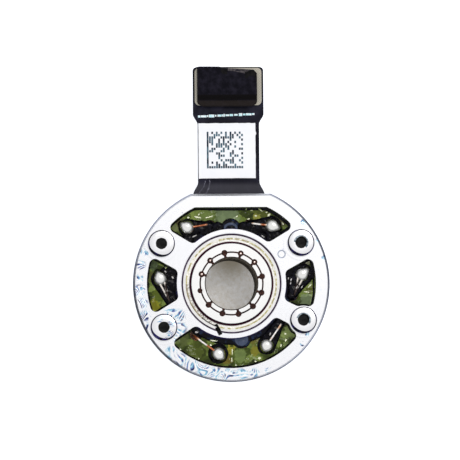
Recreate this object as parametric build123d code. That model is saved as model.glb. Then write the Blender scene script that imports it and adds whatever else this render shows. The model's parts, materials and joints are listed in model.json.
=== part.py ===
from build123d import *
import math
import os

# A hollow-shaft brushless pancake motor, 22 mm across, with a flat flex tail.
# The aluminium base plate and its hub carry the wound stator and the winding board. The steel bell, with its
# ring of magnets, turns round the stator on a hollow shaft in two ball bearings. The flex tail leaves the
# winding board through the flat on the plate's rim and folds along a line just outside the bell.
#
# Millimetres. The motor's axis is Z and the flex tail runs along +Y. Z = 0 is the bell's rear face, on which
# the motor stands, and the four mounting bosses point up. Angles are degrees from +X, anticlockwise.

# --- Bearings, 7 x 11 x 2.5 mm, and the hollow shaft through them ---
SHAFT_BORE_R = 2.9  # the cable way through the motor
SHAFT_WALL = 0.6
BEARING_SECTION = 2.0  # radial height of a bearing, bore to outside
BEARING_WIDTH = 2.5
BEARING_RECESS = 0.3  # the front bearing's face below the plate's face
RING_SHOULDER = 0.65  # radial thickness of each ring beside its groove
BALL_R = 0.5
BALL_COUNT = 12
BALL_CLEARANCE = 0.02  # ball to groove, all round
POCKET_CLEARANCE = 0.03  # ball to cage pocket
CAGE_CLEARANCE = 0.13  # cage to each ring's shoulder
CAGE_BASE = 0.25  # cage height behind the balls
CAGE_LIP = 0.2  # cage height past the balls' centres
SEAT_LIP = 0.38  # outer ring's rim round its shield seats
SEAT_DEPTH = 0.35
SHIELD_THICKNESS = 0.12
SHIELD_GAP = 0.07  # shield's edge to the turning inner ring
SNAP_WIRE = 0.16  # side of the square wire that holds a shield
SNAP_GAP_FIRST_ANGLE = 231.0  # where the front snap wires are split
SNAP_GAP_ANGLE = 17.0
WASHER_HEIGHT = 0.2  # preload washer, pressed flat
WASHER_WIDTH = 0.45
HUB_WALL = 0.55
HUB_LIP = 0.6  # radial height of the shoulder between the bearings

# --- Shaft collar, welded on at its joint with the shaft's end ---
COLLAR_WIDTH = 1.06
COLLAR_HEIGHT = 0.4
EDGE_BREAK = 0.1  # broken edges of the turned parts
WELD_COUNT = 12
WELD_FIRST_ANGLE = 12.5
WELD_R = 0.34
WELD_DEPTH = 0.15
WELD_CROWN = 0.05

# --- Rotor bell and magnets ---
BELL_FLOOR = 1.2
BELL_WALL = 0.6
BELL_SEAT_WIDTH = 0.6  # ring on the floor that carries the rear bearing's inner ring
BELL_EDGE = 0.3  # bevel round the rear face
HUB_FLOOR_GAP = 0.3  # hub's end above the bell's floor
BEARING_SEAT_RISE = 0.05  # rear bearing's face above the hub's end
ROTOR_HOLE_R = 0.625  # tapped M1.6, at the thread's minor radius
ROTOR_HOLE_CIRCLE_R = 6.0
ROTOR_HOLE_COUNT = 4
ROTOR_HOLE_ANGLE = 45.0
MAGNET_COUNT = 12
MAGNET_THICKNESS = 0.75
MAGNET_OVERHANG = 0.2  # magnet past the core at each end
MAGNET_SPACING = 2.4  # degrees between magnets
AIR_GAP = 0.2
RIM_RISE = 0.3  # bell's rim past the magnets

# --- Wound stator ---
TOOTH_COUNT = 9
TOOTH_FIRST_ANGLE = 30.0
TOOTH_WIDTH = 1.6
TOOTH_LENGTH = 1.9
YOKE_WIDTH = 0.75
SHOE_HEIGHT = 0.5
SLOT_OPENING = 1.0
LAMINATION_COUNT = 16
LAMINATION_THICKNESS = 0.2
COIL_FLOOR_GAP = 0.35  # coils above the bell's floor
COIL_SIDE = 1.0  # winding depth beside a tooth
COIL_END = 0.55  # winding depth over a tooth
COIL_INSET = 0.15  # coil short of the yoke and of the shoe
COIL_CORNER_R = 0.5
INSULATOR_CAP = 0.3
INSULATOR_LINER = 0.2
LINER_SPLIT = 0.1  # between the two insulators at mid height
COLLAR_WALL = 0.65  # front insulator's collar round the hub
COLLAR_TOP_GAP = 0.05  # collar and posts short of the plate
POST_R = 1.0
POST_OUTSET = 0.2  # post's centre outside the hub's wall
POST_WALL = 0.15  # round the hole in each post
POST_ANGLES = (90.0, 280.0)

# --- Winding board and what is on it ---
BOARD_THICKNESS = 0.6
BOARD_COIL_GAP = 0.4
BOARD_HUB_GAP = 0.15  # board's inner edge to the insulator's collar
BOARD_RIM_GAP = 0.15
POST_GAP = 0.1
# where windings end: a notch's angle in the board, its solder joint's angle, and the number of leads
WINDING_ENDS = (
    (72.0, 54.8, 1),
    (110.0, 127.4, 1),
    (197.0, 175.8, 2),
    (235.0, 259.0, 1),
    (322.0, 299.5, 1),
    (349.0, 6.8, 2),
)
NOTCH_WIDTH = 1.4
NOTCH_REACH = 1.55  # from the hub's wall
SOLDER_R = 0.82
SOLDER_RIM_GAP = 0.69  # joint's edge to the plate's rim
LEAD_R = 0.125
LEAD_RISE = 0.42  # lead's centre over the board
LEAD_START = 1.15  # from the hub's wall, where a lead leaves its coil
LEAD_BEND_R = 0.3
LEAD_SPACING = 0.3
NOTCH_SIDE_GAP = 0.12  # lead to the side of its notch
RESIN_R = 1.1
RESIN_THICKNESS = 0.18
SENSOR_SIZE = (1.6, 1.0, 0.5)  # along the rim, along a radius, and high
SENSOR_COIL_GAP = 0.15
SENSOR_ANGLES = (240.0, 270.0, 300.0)

# --- Base plate ---
PLATE_OVERHANG = 0.25  # plate's edge past the bell
PLATE_THICKNESS = 1.0
PLATE_EDGE = 0.25  # bevel round the face
SKIRT_WALL = 0.8
SKIRT_BELL_GAP = 0.4  # running gap, skirt to bell's rim
FLAT_DEPTH = 0.95  # the flat that the flex leaves by, in from the plate's edge
RIM_WIDTH = 1.55
TOP_WINDOW_MARGIN = 1.5  # metal between the flat and the window behind it
WINDOW_HUB_GAP = 0.05
WINDOW_CORNER_R = 0.65
BOSS_ANGLES = (30.0, 150.0, 212.5, 332.5)  # each boss stands on a spoke
SPOKE_WIDTHS = (3.7, 3.4, 3.55, 2.1)  # at the hub
SPOKE_FLARE_ANGLE = 1.0
BOSS_INSET = 2.0  # boss's centre in from the plate's edge
BOSS_R = 1.5
BOSS_WALL = 0.12  # metal left round a boss where a window comes close
BOSS_HEIGHT = 0.6
BOSS_HOLE_R = 0.625  # tapped M1.6, at the thread's minor radius
BOSS_HOLE_DEPTH = 1.9
BOSS_COUNTERSINK = 0.12  # bevel at the mouth of each tapped hole
BOSS_TAIL_R = 1.35  # the boss's lower end, through the board
BOSS_TAIL_GAP = 0.1
PAD_WIDTH = 0.45  # low step round the foot of each boss
PAD_HEIGHT = 0.12
DIMPLE_R = 0.42
DIMPLE_DEPTH = 0.15
DIMPLE_HUB_GAP = 0.03  # the dimple is on the first spoke, beside the hub

# --- Flex tail and what is on it; the lengths are along Y ---
FLEX_X = -0.15  # the tail's centre line
FLEX_THICKNESS = 0.2
FLEX_ROOT_LENGTH = 1.95  # bonded under the board, up to the plate's flat
FLEX_FLARE_LENGTH = 1.4
FLEX_NECK_LENGTH = 6.45
FLEX_SHOULDER_LENGTH = 1.2
FLEX_HEAD_LENGTH = 5.3
FLEX_ROOT_WIDTH = 8.0
FLEX_NECK_WIDTH = 6.9
FLEX_HEAD_WIDTH = 7.94
FLEX_FLARE_R = 1.6
FLEX_SHOULDER_R = 1.2
FLEX_CORNER_R = 0.45
FLEX_SLOT_GAP = 0.2
FOLD_BELL_GAP = 0.3  # fold line outside the bell
FOLD_GAP = 0.02
LABEL_SIZE = (6.4, 6.2)
LABEL_THICKNESS = 0.08
LABEL_OFFSET_X = -0.17  # from the tail's centre line
LABEL_NECK_GAP = 0.4  # from the end of the flare
STIFFENER_SIZE = (7.5, 4.2)
STIFFENER_THICKNESS = 0.3
STIFFENER_END_GAP = 0.14  # short of the flex's end
STIFFENER_CORNER_R = 0.5
FOAM_SIZE = (6.7, 4.1)
FOAM_OFFSET_X = -0.13  # from the tail's centre line
FOAM_THICKNESS = 0.9
FOAM_CORNER_R = 0.3
CONNECTOR_SIZE = (6.2, 2.3, 0.85)
CONNECTOR_SLOT = (5.1, 0.9, 0.6)
CONTACT_ROW_COUNT = 12
CONTACT_PITCH = 0.4
CONTACT_WIDTH = 0.2
CONTACT_THICKNESS = 0.14
CONTACT_HEIGHT = 0.65
CONTACT_TAIL = 0.35
TAB_WIDTH = 1.5
TAB_REACH = 0.4

# --- Radii and levels that follow from the sizes above ---
shaft_r = SHAFT_BORE_R + SHAFT_WALL
bearing_r = shaft_r + BEARING_SECTION
pitch_r = shaft_r + BEARING_SECTION / 2
inner_shoulder_r = shaft_r + RING_SHOULDER
outer_shoulder_r = bearing_r - RING_SHOULDER
hub_r = bearing_r + HUB_WALL
collar_r = hub_r + COLLAR_WALL
post_circle_r = hub_r + POST_OUTSET
yoke_r = hub_r + YOKE_WIDTH
core_r = yoke_r + TOOTH_LENGTH + SHOE_HEIGHT
magnet_r = core_r + AIR_GAP
bell_inner_r = magnet_r + MAGNET_THICKNESS
bell_r = bell_inner_r + BELL_WALL
plate_r = bell_r + PLATE_OVERHANG
skirt_inner_r = plate_r - SKIRT_WALL
boss_circle_r = plate_r - BOSS_INSET
solder_circle_r = plate_r - RIM_WIDTH - SOLDER_RIM_GAP - SOLDER_R
flat_y = plate_r - FLAT_DEPTH
board_inner_r = collar_r + BOARD_HUB_GAP
board_r = skirt_inner_r - BOARD_RIM_GAP
coil_outer_r = core_r - SHOE_HEIGHT - COIL_INSET
sensor_circle_r = coil_outer_r + SENSOR_COIL_GAP + SENSOR_SIZE[1] / 2

coil_bottom = BELL_FLOOR + COIL_FLOOR_GAP
core_bottom = coil_bottom + COIL_END + INSULATOR_CAP
core_top = core_bottom + LAMINATION_COUNT * LAMINATION_THICKNESS
core_middle = (core_bottom + core_top) / 2
coil_top = core_top + INSULATOR_CAP + COIL_END
board_bottom = coil_top + BOARD_COIL_GAP
board_top = board_bottom + BOARD_THICKNESS
plate_top = board_top + PLATE_THICKNESS
boss_top = plate_top + BOSS_HEIGHT
hub_bottom = BELL_FLOOR + HUB_FLOOR_GAP
rear_bearing_z = hub_bottom + BEARING_SEAT_RISE
front_bearing_z = plate_top - BEARING_RECESS - BEARING_WIDTH
collar_bottom = front_bearing_z + BEARING_WIDTH
shaft_top = collar_bottom + COLLAR_HEIGHT
magnet_bottom = core_bottom - MAGNET_OVERHANG
magnet_top = core_top + MAGNET_OVERHANG
rim_top = magnet_top + RIM_RISE
skirt_bottom = rim_top + SKIRT_BELL_GAP
flex_top = board_bottom + FLEX_THICKNESS
stiffener_top = flex_top + STIFFENER_THICKNESS
fold_y = bell_r + FOLD_BELL_GAP
fold_z = board_bottom + FLEX_THICKNESS / 2

root_y = flat_y - FLEX_ROOT_LENGTH
neck_y = flat_y + FLEX_FLARE_LENGTH
shoulder_y = neck_y + FLEX_NECK_LENGTH
head_y = shoulder_y + FLEX_SHOULDER_LENGTH
tip_y = head_y + FLEX_HEAD_LENGTH
stiffener_y = tip_y - STIFFENER_END_GAP - STIFFENER_SIZE[1] / 2
reach = plate_r + tip_y  # longer than anything it cuts


def at(angle, radius, z=0.0):
    """The point at an angle and a radius round the axis."""
    return Vector(radius * math.cos(math.radians(angle)), radius * math.sin(math.radians(angle)), z)


def disc(radius, bottom, top, centre=(0, 0)):
    """A round solid between two levels."""
    return Pos(centre[0], centre[1], bottom) * extrude(Circle(radius), top - bottom)


def tube(inner, outer, bottom, top, centre=(0, 0)):
    """A round solid with a round hole, between two levels."""
    return Pos(centre[0], centre[1], bottom) * extrude(Circle(outer) - Circle(inner), top - bottom)


def block(width, depth, bottom, top, centre):
    """A rectangular solid between two levels."""
    return Pos(centre[0], centre[1], bottom) * extrude(Rectangle(width, depth), top - bottom)


def sector(inner, outer, half_angle):
    """A flat ring sector, centred on +X."""
    side = outer * math.tan(math.radians(half_angle))
    wedge = make_face(Polyline((0, 0), (2 * outer, 2 * side), (2 * outer, -2 * side), close=True))
    return (Circle(outer) - Circle(inner)) & wedge


def strip(width, start, end):
    """A flat strip along +X, between two distances from the axis."""
    return Pos((start + end) / 2, 0) * Rectangle(end - start, width)


def spun(shape, angles):
    """The same shape at each angle round the axis."""
    return [Rot(0, 0, angle) * shape for angle in angles]


def every(count, first=0.0):
    """Evenly spaced angles round the axis."""
    return [first + step * 360 / count for step in range(count)]


def group(solids):
    """Separate solids that share one node."""
    return Compound(list(solids))


# --- Base plate ---
def spoke(width):
    """The flat shape of a spoke along +X, a little wider towards the rim."""
    spread = math.tan(math.radians(SPOKE_FLARE_ANGLE))
    root = width / 2 - hub_r * spread
    end = root + plate_r * spread
    return make_face(Polyline((0, root), (plate_r, end), (plate_r, -end), (0, -root), close=True))


def behind(y):
    """The flat half plane behind a line across Y."""
    return Pos(0, y - reach / 2) * Rectangle(reach, reach)


def windows():
    """The four openings between the hub, the rim, the spokes and the flat."""
    flat = Circle(plate_r - RIM_WIDTH) - Circle(hub_r + WINDOW_HUB_GAP)
    for angle, width in zip(BOSS_ANGLES, SPOKE_WIDTHS):
        flat -= Rot(0, 0, angle) * spoke(width)
    for centre in boss_centres():
        flat -= Pos(centre) * Circle(BOSS_R + BOSS_WALL)
    flat &= behind(flat_y - TOP_WINDOW_MARGIN)
    return fillet(flat.vertices(), WINDOW_CORNER_R)


def boss_centres():
    return [at(angle, boss_circle_r) for angle in BOSS_ANGLES]


def base_plate():
    """Plate, skirt and hub tube, machined in one piece, with a hole for each boss."""
    outline = Circle(plate_r) & behind(flat_y)
    plate = Pos(0, 0, board_top) * extrude(outline, PLATE_THICKNESS)
    plate = chamfer(plate.faces().sort_by(Axis.Z)[-1].outer_wire().edges(), PLATE_EDGE)
    pads = [Pos(centre) * Circle(BOSS_R + PAD_WIDTH) for centre in boss_centres()]
    pads = Sketch() + pads & Circle(plate_r - PLATE_EDGE)
    plate += Pos(0, 0, plate_top) * extrude(pads, PAD_HEIGHT)
    skirt = Pos(0, 0, skirt_bottom) * extrude(outline - Circle(skirt_inner_r), board_top - skirt_bottom)
    slot_width = FLEX_ROOT_WIDTH + 2 * FLEX_SLOT_GAP
    plate += skirt - block(slot_width, plate_r, skirt_bottom, board_top, (FLEX_X, flat_y))
    plate -= Pos(0, 0, board_top) * extrude(windows(), PLATE_THICKNESS + PAD_HEIGHT)
    plate += disc(hub_r, hub_bottom, plate_top)
    for centre in boss_centres():
        plate -= disc(BOSS_R, board_top, boss_top, (centre.X, centre.Y))
        plate -= disc(BOSS_TAIL_R, board_bottom, board_top, (centre.X, centre.Y))
    dimple = at(BOSS_ANGLES[0], hub_r + DIMPLE_HUB_GAP + DIMPLE_R)
    plate -= disc(DIMPLE_R, plate_top - DIMPLE_DEPTH, plate_top, (dimple.X, dimple.Y))
    return plate - hub_bore()


def hub_bore():
    """What is cut from the hub: two bearing seats, and the way past the shoulder between them."""
    shoulder_bottom = rear_bearing_z + BEARING_WIDTH
    shoulder_top = front_bearing_z - WASHER_HEIGHT
    bore = disc(bearing_r, hub_bottom, shoulder_bottom) + disc(bearing_r, shoulder_top, plate_top)
    bore += disc(bearing_r - HUB_LIP, shoulder_bottom, shoulder_top)
    mouth = Pos(0, 0, plate_top - EDGE_BREAK / 2) * Cone(bearing_r, bearing_r + EDGE_BREAK, EDGE_BREAK)
    return bore + mouth


def threaded_bosses():
    """Pressed into the plate and proud of its face, with a stepped-down end through the board."""
    boss = disc(BOSS_R, board_top, boss_top) + disc(BOSS_TAIL_R, board_bottom, board_top)
    boss = chamfer(boss.faces().sort_by(Axis.Z)[-1].edges(), EDGE_BREAK)
    boss -= disc(BOSS_HOLE_R, boss_top - BOSS_HOLE_DEPTH, boss_top)
    mouth = Pos(0, 0, boss_top - BOSS_COUNTERSINK / 2)
    boss -= mouth * Cone(BOSS_HOLE_R, BOSS_HOLE_R + BOSS_COUNTERSINK, BOSS_COUNTERSINK)
    return group(Pos(centre) * boss for centre in boss_centres())


# --- Ball bearings, modelled with the rear face at Z = 0 ---
def groove():
    """The round groove that the balls run in, as a solid ring to cut with."""
    return Pos(0, 0, BEARING_WIDTH / 2) * Torus(pitch_r, BALL_R + BALL_CLEARANCE)


def outer_ring():
    ring = tube(outer_shoulder_r, bearing_r, 0, BEARING_WIDTH) - groove()
    seat_r = bearing_r - SEAT_LIP
    ring -= disc(seat_r, 0, SEAT_DEPTH)
    return ring - disc(seat_r, BEARING_WIDTH - SEAT_DEPTH, BEARING_WIDTH)


def inner_ring():
    return tube(shaft_r, inner_shoulder_r, 0, BEARING_WIDTH) - groove()


def ball_places():
    return [at(angle, pitch_r, BEARING_WIDTH / 2) for angle in every(BALL_COUNT)]


def balls():
    return group(Pos(place) * Sphere(BALL_R) for place in ball_places())


def cage():
    """A crown cage: a thin ring behind the balls, with a pocket for each."""
    behind = BALL_R + POCKET_CLEARANCE + CAGE_BASE
    middle = BEARING_WIDTH / 2
    inner = inner_shoulder_r + CAGE_CLEARANCE
    outer = outer_shoulder_r - CAGE_CLEARANCE
    ring = tube(inner, outer, middle - behind, middle + CAGE_LIP)
    for place in ball_places():
        ring -= Pos(place) * Sphere(BALL_R + POCKET_CLEARANCE)
    return ring


def shields():
    """Two thin rings, each on the floor of its seat."""
    ring = tube(inner_shoulder_r + SHIELD_GAP, bearing_r - SEAT_LIP, 0, SHIELD_THICKNESS)
    front = BEARING_WIDTH - SEAT_DEPTH
    return group([Pos(0, 0, SEAT_DEPTH - SHIELD_THICKNESS) * ring, Pos(0, 0, front) * ring])


def snap_wires():
    """Two split rings of square wire, each over its shield."""
    seat_r = bearing_r - SEAT_LIP
    section = Circle(seat_r) - Circle(seat_r - SNAP_WIRE)
    gap_middle = SNAP_GAP_FIRST_ANGLE + SNAP_GAP_ANGLE / 2
    section -= Rot(0, 0, gap_middle) * sector(SHAFT_BORE_R, bearing_r, SNAP_GAP_ANGLE / 2)
    wire = extrude(section, SNAP_WIRE)
    front = BEARING_WIDTH - SEAT_DEPTH + SHIELD_THICKNESS
    rear = SEAT_DEPTH - SHIELD_THICKNESS - SNAP_WIRE
    return group([Pos(0, 0, rear) * wire, Pos(0, 0, front) * wire])


BEARING_PIECES = {
    "outer_ring": outer_ring,
    "inner_ring": inner_ring,
    "balls": balls,
    "cage": cage,
    "shields": shields,
    "snap_wires": snap_wires,
}


def preload_washer():
    """Spring washer between the hub's shoulder and the front bearing's outer ring."""
    return tube(bearing_r - WASHER_WIDTH, bearing_r, front_bearing_z - WASHER_HEIGHT, front_bearing_z)


# --- Rotor ---
def weld_places():
    return [at(angle, shaft_r) for angle in every(WELD_COUNT, WELD_FIRST_ANGLE)]


def weld_pits():
    pit = disc(WELD_R, shaft_top - WELD_DEPTH, shaft_top)
    return [Pos(place) * pit for place in weld_places()]


def rotor_shaft():
    shaft = tube(SHAFT_BORE_R, shaft_r, 0, shaft_top)
    mouth = Pos(0, 0, shaft_top - EDGE_BREAK / 2)
    shaft -= mouth * Cone(SHAFT_BORE_R, SHAFT_BORE_R + EDGE_BREAK, EDGE_BREAK)
    for pit in weld_pits():
        shaft -= pit
    return shaft


def shaft_collar():
    collar = tube(shaft_r, shaft_r + COLLAR_WIDTH, collar_bottom, shaft_top)
    collar = chamfer(collar.faces().sort_by(Axis.Z)[-1].outer_wire().edges(), EDGE_BREAK)
    for pit in weld_pits():
        collar -= pit
    return collar


def weld_spots():
    """Weld metal that fills each pit and stands a little proud."""
    spot = disc(WELD_R, shaft_top - WELD_DEPTH, shaft_top)
    spot += Pos(0, 0, shaft_top + WELD_CROWN / 2) * Cone(WELD_R, WELD_R / 2, WELD_CROWN)
    return group(Pos(place) * spot for place in weld_places())


def rotor_bell():
    bell = disc(bell_r, 0, BELL_FLOOR)
    bell = chamfer(bell.faces().sort_by(Axis.Z)[0].outer_wire().edges(), BELL_EDGE)
    bell += tube(bell_inner_r, bell_r, BELL_FLOOR, rim_top)
    bell += disc(shaft_r + BELL_SEAT_WIDTH, BELL_FLOOR, rear_bearing_z)
    bell -= disc(shaft_r, 0, rear_bearing_z)
    for angle in every(ROTOR_HOLE_COUNT, ROTOR_HOLE_ANGLE):
        hole = at(angle, ROTOR_HOLE_CIRCLE_R)
        bell -= disc(ROTOR_HOLE_R, 0, BELL_FLOOR, (hole.X, hole.Y))
    return bell


def rotor_magnets():
    half_angle = (360 / MAGNET_COUNT - MAGNET_SPACING) / 2
    magnet = extrude(sector(magnet_r, bell_inner_r, half_angle), magnet_top - magnet_bottom)
    return group(spun(Pos(0, 0, magnet_bottom) * magnet, every(MAGNET_COUNT)))


# --- Wound stator ---
def tooth_angles():
    return every(TOOTH_COUNT, TOOTH_FIRST_ANGLE)


def core_outline():
    """One lamination: a ring with T-shaped teeth."""
    half_angle = 180 / TOOTH_COUNT - math.degrees(math.asin(SLOT_OPENING / 2 / core_r))
    tooth = strip(TOOTH_WIDTH, hub_r + YOKE_WIDTH / 2, core_r - SHOE_HEIGHT / 2)
    tooth += sector(core_r - SHOE_HEIGHT, core_r, half_angle)
    outline = Circle(yoke_r) - Circle(hub_r)
    for angle in tooth_angles():
        outline += Rot(0, 0, angle) * tooth
    return outline


def stator_laminations():
    sheet = extrude(core_outline(), LAMINATION_THICKNESS)
    levels = [core_bottom + step * LAMINATION_THICKNESS for step in range(LAMINATION_COUNT)]
    return group(Pos(0, 0, level) * sheet for level in levels)


def liners(bottom, top):
    """Thin walls down both sides of every tooth."""
    both = strip(TOOTH_WIDTH + 2 * INSULATOR_LINER, 0, core_r) - strip(TOOTH_WIDTH, 0, core_r)
    both &= Circle(core_r - SHOE_HEIGHT) - Circle(yoke_r)
    pair = Pos(0, 0, bottom) * extrude(both, top - bottom)
    return [Rot(0, 0, angle) * wall for angle in tooth_angles() for wall in pair.solids()]


def rear_insulator():
    cap = Pos(0, 0, core_bottom - INSULATOR_CAP) * extrude(core_outline(), INSULATOR_CAP)
    for wall in liners(core_bottom - INSULATOR_CAP, core_middle - LINER_SPLIT / 2):
        cap += wall
    return cap


def front_insulator():
    """Cap, liners, the collar round the hub, and the posts that locate the board."""
    cap = Pos(0, 0, core_top) * extrude(core_outline(), INSULATOR_CAP)
    for wall in liners(core_middle + LINER_SPLIT / 2, core_top + INSULATOR_CAP):
        cap += wall
    top = board_top - COLLAR_TOP_GAP
    cap += tube(hub_r, collar_r, core_top + INSULATOR_CAP, top)
    half_reach = (POST_OUTSET + POST_R) / 2  # half of what a post reaches outside the hub's wall
    for angle in POST_ANGLES:
        post = at(angle, post_circle_r)
        hole = at(angle, hub_r + half_reach)
        cap += disc(POST_R, board_bottom, top, (post.X, post.Y)) - disc(hub_r, board_bottom, top)
        cap -= disc(half_reach - POST_WALL, board_bottom, top, (hole.X, hole.Y))
    return cap


def stator_coils():
    """A rounded loop of winding round every tooth."""
    inner_width = TOOTH_WIDTH + 2 * INSULATOR_LINER
    inner_height = core_top - core_bottom + 2 * INSULATOR_CAP
    loop = RectangleRounded(inner_width + 2 * COIL_SIDE, inner_height + 2 * COIL_END, COIL_CORNER_R)
    loop -= Rectangle(inner_width, inner_height)
    across = Plane(origin=(hub_r, 0, core_middle), x_dir=(0, 1, 0), z_dir=(1, 0, 0))
    room = tube(yoke_r + COIL_INSET, coil_outer_r, BELL_FLOOR, board_bottom)
    return group(spun(extrude(across * loop, core_r - hub_r) & room, tooth_angles()))


# --- Winding board ---
def flex_outline():
    """The whole flex, flat: bonded root, flare, neck, shoulder and head."""
    half = [
        (FLEX_ROOT_WIDTH / 2, root_y),
        (FLEX_ROOT_WIDTH / 2, flat_y),
        (FLEX_NECK_WIDTH / 2, neck_y),
        (FLEX_NECK_WIDTH / 2, shoulder_y),
        (FLEX_HEAD_WIDTH / 2, head_y),
        (FLEX_HEAD_WIDTH / 2, tip_y),
    ]
    other_half = [(-x, y) for x, y in reversed(half)]
    outline = make_face(Polyline(*half, *other_half, close=True))
    for y, radius in (
        (neck_y, FLEX_FLARE_R),
        (shoulder_y, FLEX_SHOULDER_R),
        (head_y, FLEX_SHOULDER_R),
        (tip_y, FLEX_CORNER_R),
    ):
        corners = [corner for corner in outline.vertices() if abs(corner.Y - y) < radius / 100]
        outline = fillet(corners, radius)
    return Pos(FLEX_X, 0) * outline


def board_outline():
    outline = Circle(board_r) - Circle(board_inner_r)
    outline &= behind(flat_y - BOARD_RIM_GAP)
    round_end = hub_r + NOTCH_REACH - NOTCH_WIDTH / 2
    notch = strip(NOTCH_WIDTH, hub_r, round_end) + Pos(round_end, 0) * Circle(NOTCH_WIDTH / 2)
    for angle, _, _ in WINDING_ENDS:
        outline -= Rot(0, 0, angle) * notch
    for angle in POST_ANGLES:
        outline -= Rot(0, 0, angle) * Pos(post_circle_r, 0) * Circle(POST_R + POST_GAP)
    for centre in boss_centres():
        outline -= Pos(centre) * Circle(BOSS_TAIL_R + BOSS_TAIL_GAP)
    return outline


def winding_board():
    board = Pos(0, 0, board_bottom) * extrude(board_outline(), BOARD_THICKNESS)
    bonded = block(FLEX_ROOT_WIDTH, plate_r, board_bottom, flex_top, (FLEX_X, root_y + plate_r / 2))
    return board - bonded


def joint_leads(notch, joint, count):
    """The leads of one solder joint: up from a coil through the notch, over the board, and into the joint."""
    toward_joint = math.copysign(1, math.sin(math.radians(joint - notch)))
    section = Circle(LEAD_R)
    leads = []
    for number in range(count):
        beside_notch = toward_joint * (NOTCH_WIDTH / 2 - NOTCH_SIDE_GAP - LEAD_R - number * LEAD_SPACING)
        beside_joint = toward_joint * ((count - 1) / 2 - number) * LEAD_SPACING
        over_coil = Rot(0, 0, notch) * Pos(hub_r + LEAD_START, beside_notch)
        over_joint = Rot(0, 0, joint) * Pos(solder_circle_r, beside_joint)
        start = (Pos(0, 0, coil_top) * over_coil).position
        bend = (Pos(0, 0, board_top + LEAD_RISE) * over_coil).position
        end = (Pos(0, 0, board_top + LEAD_RISE) * over_joint).position
        path = FilletPolyline(start, bend, end, radius=LEAD_BEND_R)
        leads.append(sweep(Pos(start) * section, path=path))
    return leads


def winding_leads():
    return group(lead for ends in WINDING_ENDS for lead in joint_leads(*ends))


def solder_joints():
    """Domes of solder on the board, each with the ends of its leads inside."""
    dome = Pos(0, 0, board_top) * Sphere(SOLDER_R) & disc(SOLDER_R, board_top, board_top + SOLDER_R)
    domes = []
    for notch, joint, count in WINDING_ENDS:
        solder = Pos(at(joint, solder_circle_r)) * dome
        for lead in joint_leads(notch, joint, count):
            solder -= lead
        domes.append(solder)
    return group(domes)


def resin_dabs():
    """Thin resin on the board, from each notch out round its solder joint, inside the plate's openings."""
    bare_board = board_outline()
    openings = windows()
    dabs = []
    for notch, joint, _ in WINDING_ENDS:
        inner = at(notch, hub_r + NOTCH_REACH)
        outer = at(joint, solder_circle_r)
        outline = SlotCenterPoint((inner + outer) / 2, outer, 2 * RESIN_R) & bare_board
        outline -= Pos(outer) * Circle(SOLDER_R)
        dabs += (Pos(0, 0, board_top) * extrude(outline & openings, RESIN_THICKNESS)).solids()
    return group(dabs)


def hall_sensors():
    along, radial, height = SENSOR_SIZE
    chip = block(radial, along, board_bottom - height, board_bottom, (sensor_circle_r, 0))
    return group(spun(chip, SENSOR_ANGLES))


# --- Flex tail ---
def flex_root():
    """The flex from its bonded end to just short of the fold line."""
    end = fold_y - FLEX_THICKNESS / 2 - FOLD_GAP
    outline = flex_outline() & behind(end)
    return Pos(0, 0, board_bottom) * extrude(outline, FLEX_THICKNESS)


def flex_tail():
    """The flex from the fold line on, with a round edge on that line."""
    half = flex_outline() - behind(fold_y)
    tail = Pos(0, 0, board_bottom) * extrude(half, FLEX_THICKNESS)
    side = tail.faces().sort_by(Axis.Y)[0]
    width = side.bounding_box().size.X
    edge = Pos(FLEX_X, fold_y, fold_z) * Rot(0, 90, 0) * Cylinder(FLEX_THICKNESS / 2, width)
    return tail + edge


def label():
    width, length = LABEL_SIZE
    centre = (FLEX_X + LABEL_OFFSET_X, neck_y + LABEL_NECK_GAP + length / 2)
    return block(width, length, flex_top, flex_top + LABEL_THICKNESS, centre)


def stiffener():
    width, length = STIFFENER_SIZE
    plate = extrude(RectangleRounded(width, length, STIFFENER_CORNER_R), STIFFENER_THICKNESS)
    return Pos(FLEX_X, stiffener_y, flex_top) * plate


def foam_pad():
    width, length = FOAM_SIZE
    pad = extrude(RectangleRounded(width, length, FOAM_CORNER_R), FOAM_THICKNESS)
    return Pos(FLEX_X + FOAM_OFFSET_X, stiffener_y, stiffener_top) * pad


def contact_places():
    """Centre and outward side of each contact's leg, on the housing's two long walls."""
    row = [(step - (CONTACT_ROW_COUNT - 1) / 2) * CONTACT_PITCH for step in range(CONTACT_ROW_COUNT)]
    wall = CONNECTOR_SIZE[1] / 2 - CONTACT_THICKNESS / 2
    return [(FLEX_X + x, stiffener_y + side * wall, side) for side in (-1, 1) for x in row]


def contact_legs():
    bottom = board_bottom - CONTACT_HEIGHT
    return [
        block(CONTACT_WIDTH, CONTACT_THICKNESS, bottom, board_bottom, (x, y)) for x, y, _ in contact_places()
    ]


def connector_housing():
    """Board-to-board plug under the flex's head, open downward."""
    width, depth, height = CONNECTOR_SIZE
    slot_width, slot_depth, slot_height = CONNECTOR_SLOT
    bottom = board_bottom - height
    body = block(width, depth, bottom, board_bottom, (FLEX_X, stiffener_y))
    body -= block(slot_width, slot_depth, bottom, bottom + slot_height, (FLEX_X, stiffener_y))
    for leg in contact_legs():
        body -= leg
    return body


def connector_contacts():
    """Each contact: a leg in the housing's wall, and a tail soldered to the flex."""
    contacts = []
    for leg, (x, y, side) in zip(contact_legs(), contact_places()):
        outside = y + side * (CONTACT_THICKNESS + CONTACT_TAIL) / 2
        foot_bottom = board_bottom - CONTACT_THICKNESS
        foot = block(CONTACT_WIDTH, CONTACT_TAIL, foot_bottom, board_bottom, (x, outside))
        contacts.append(leg + foot)
    return group(contacts)


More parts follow.
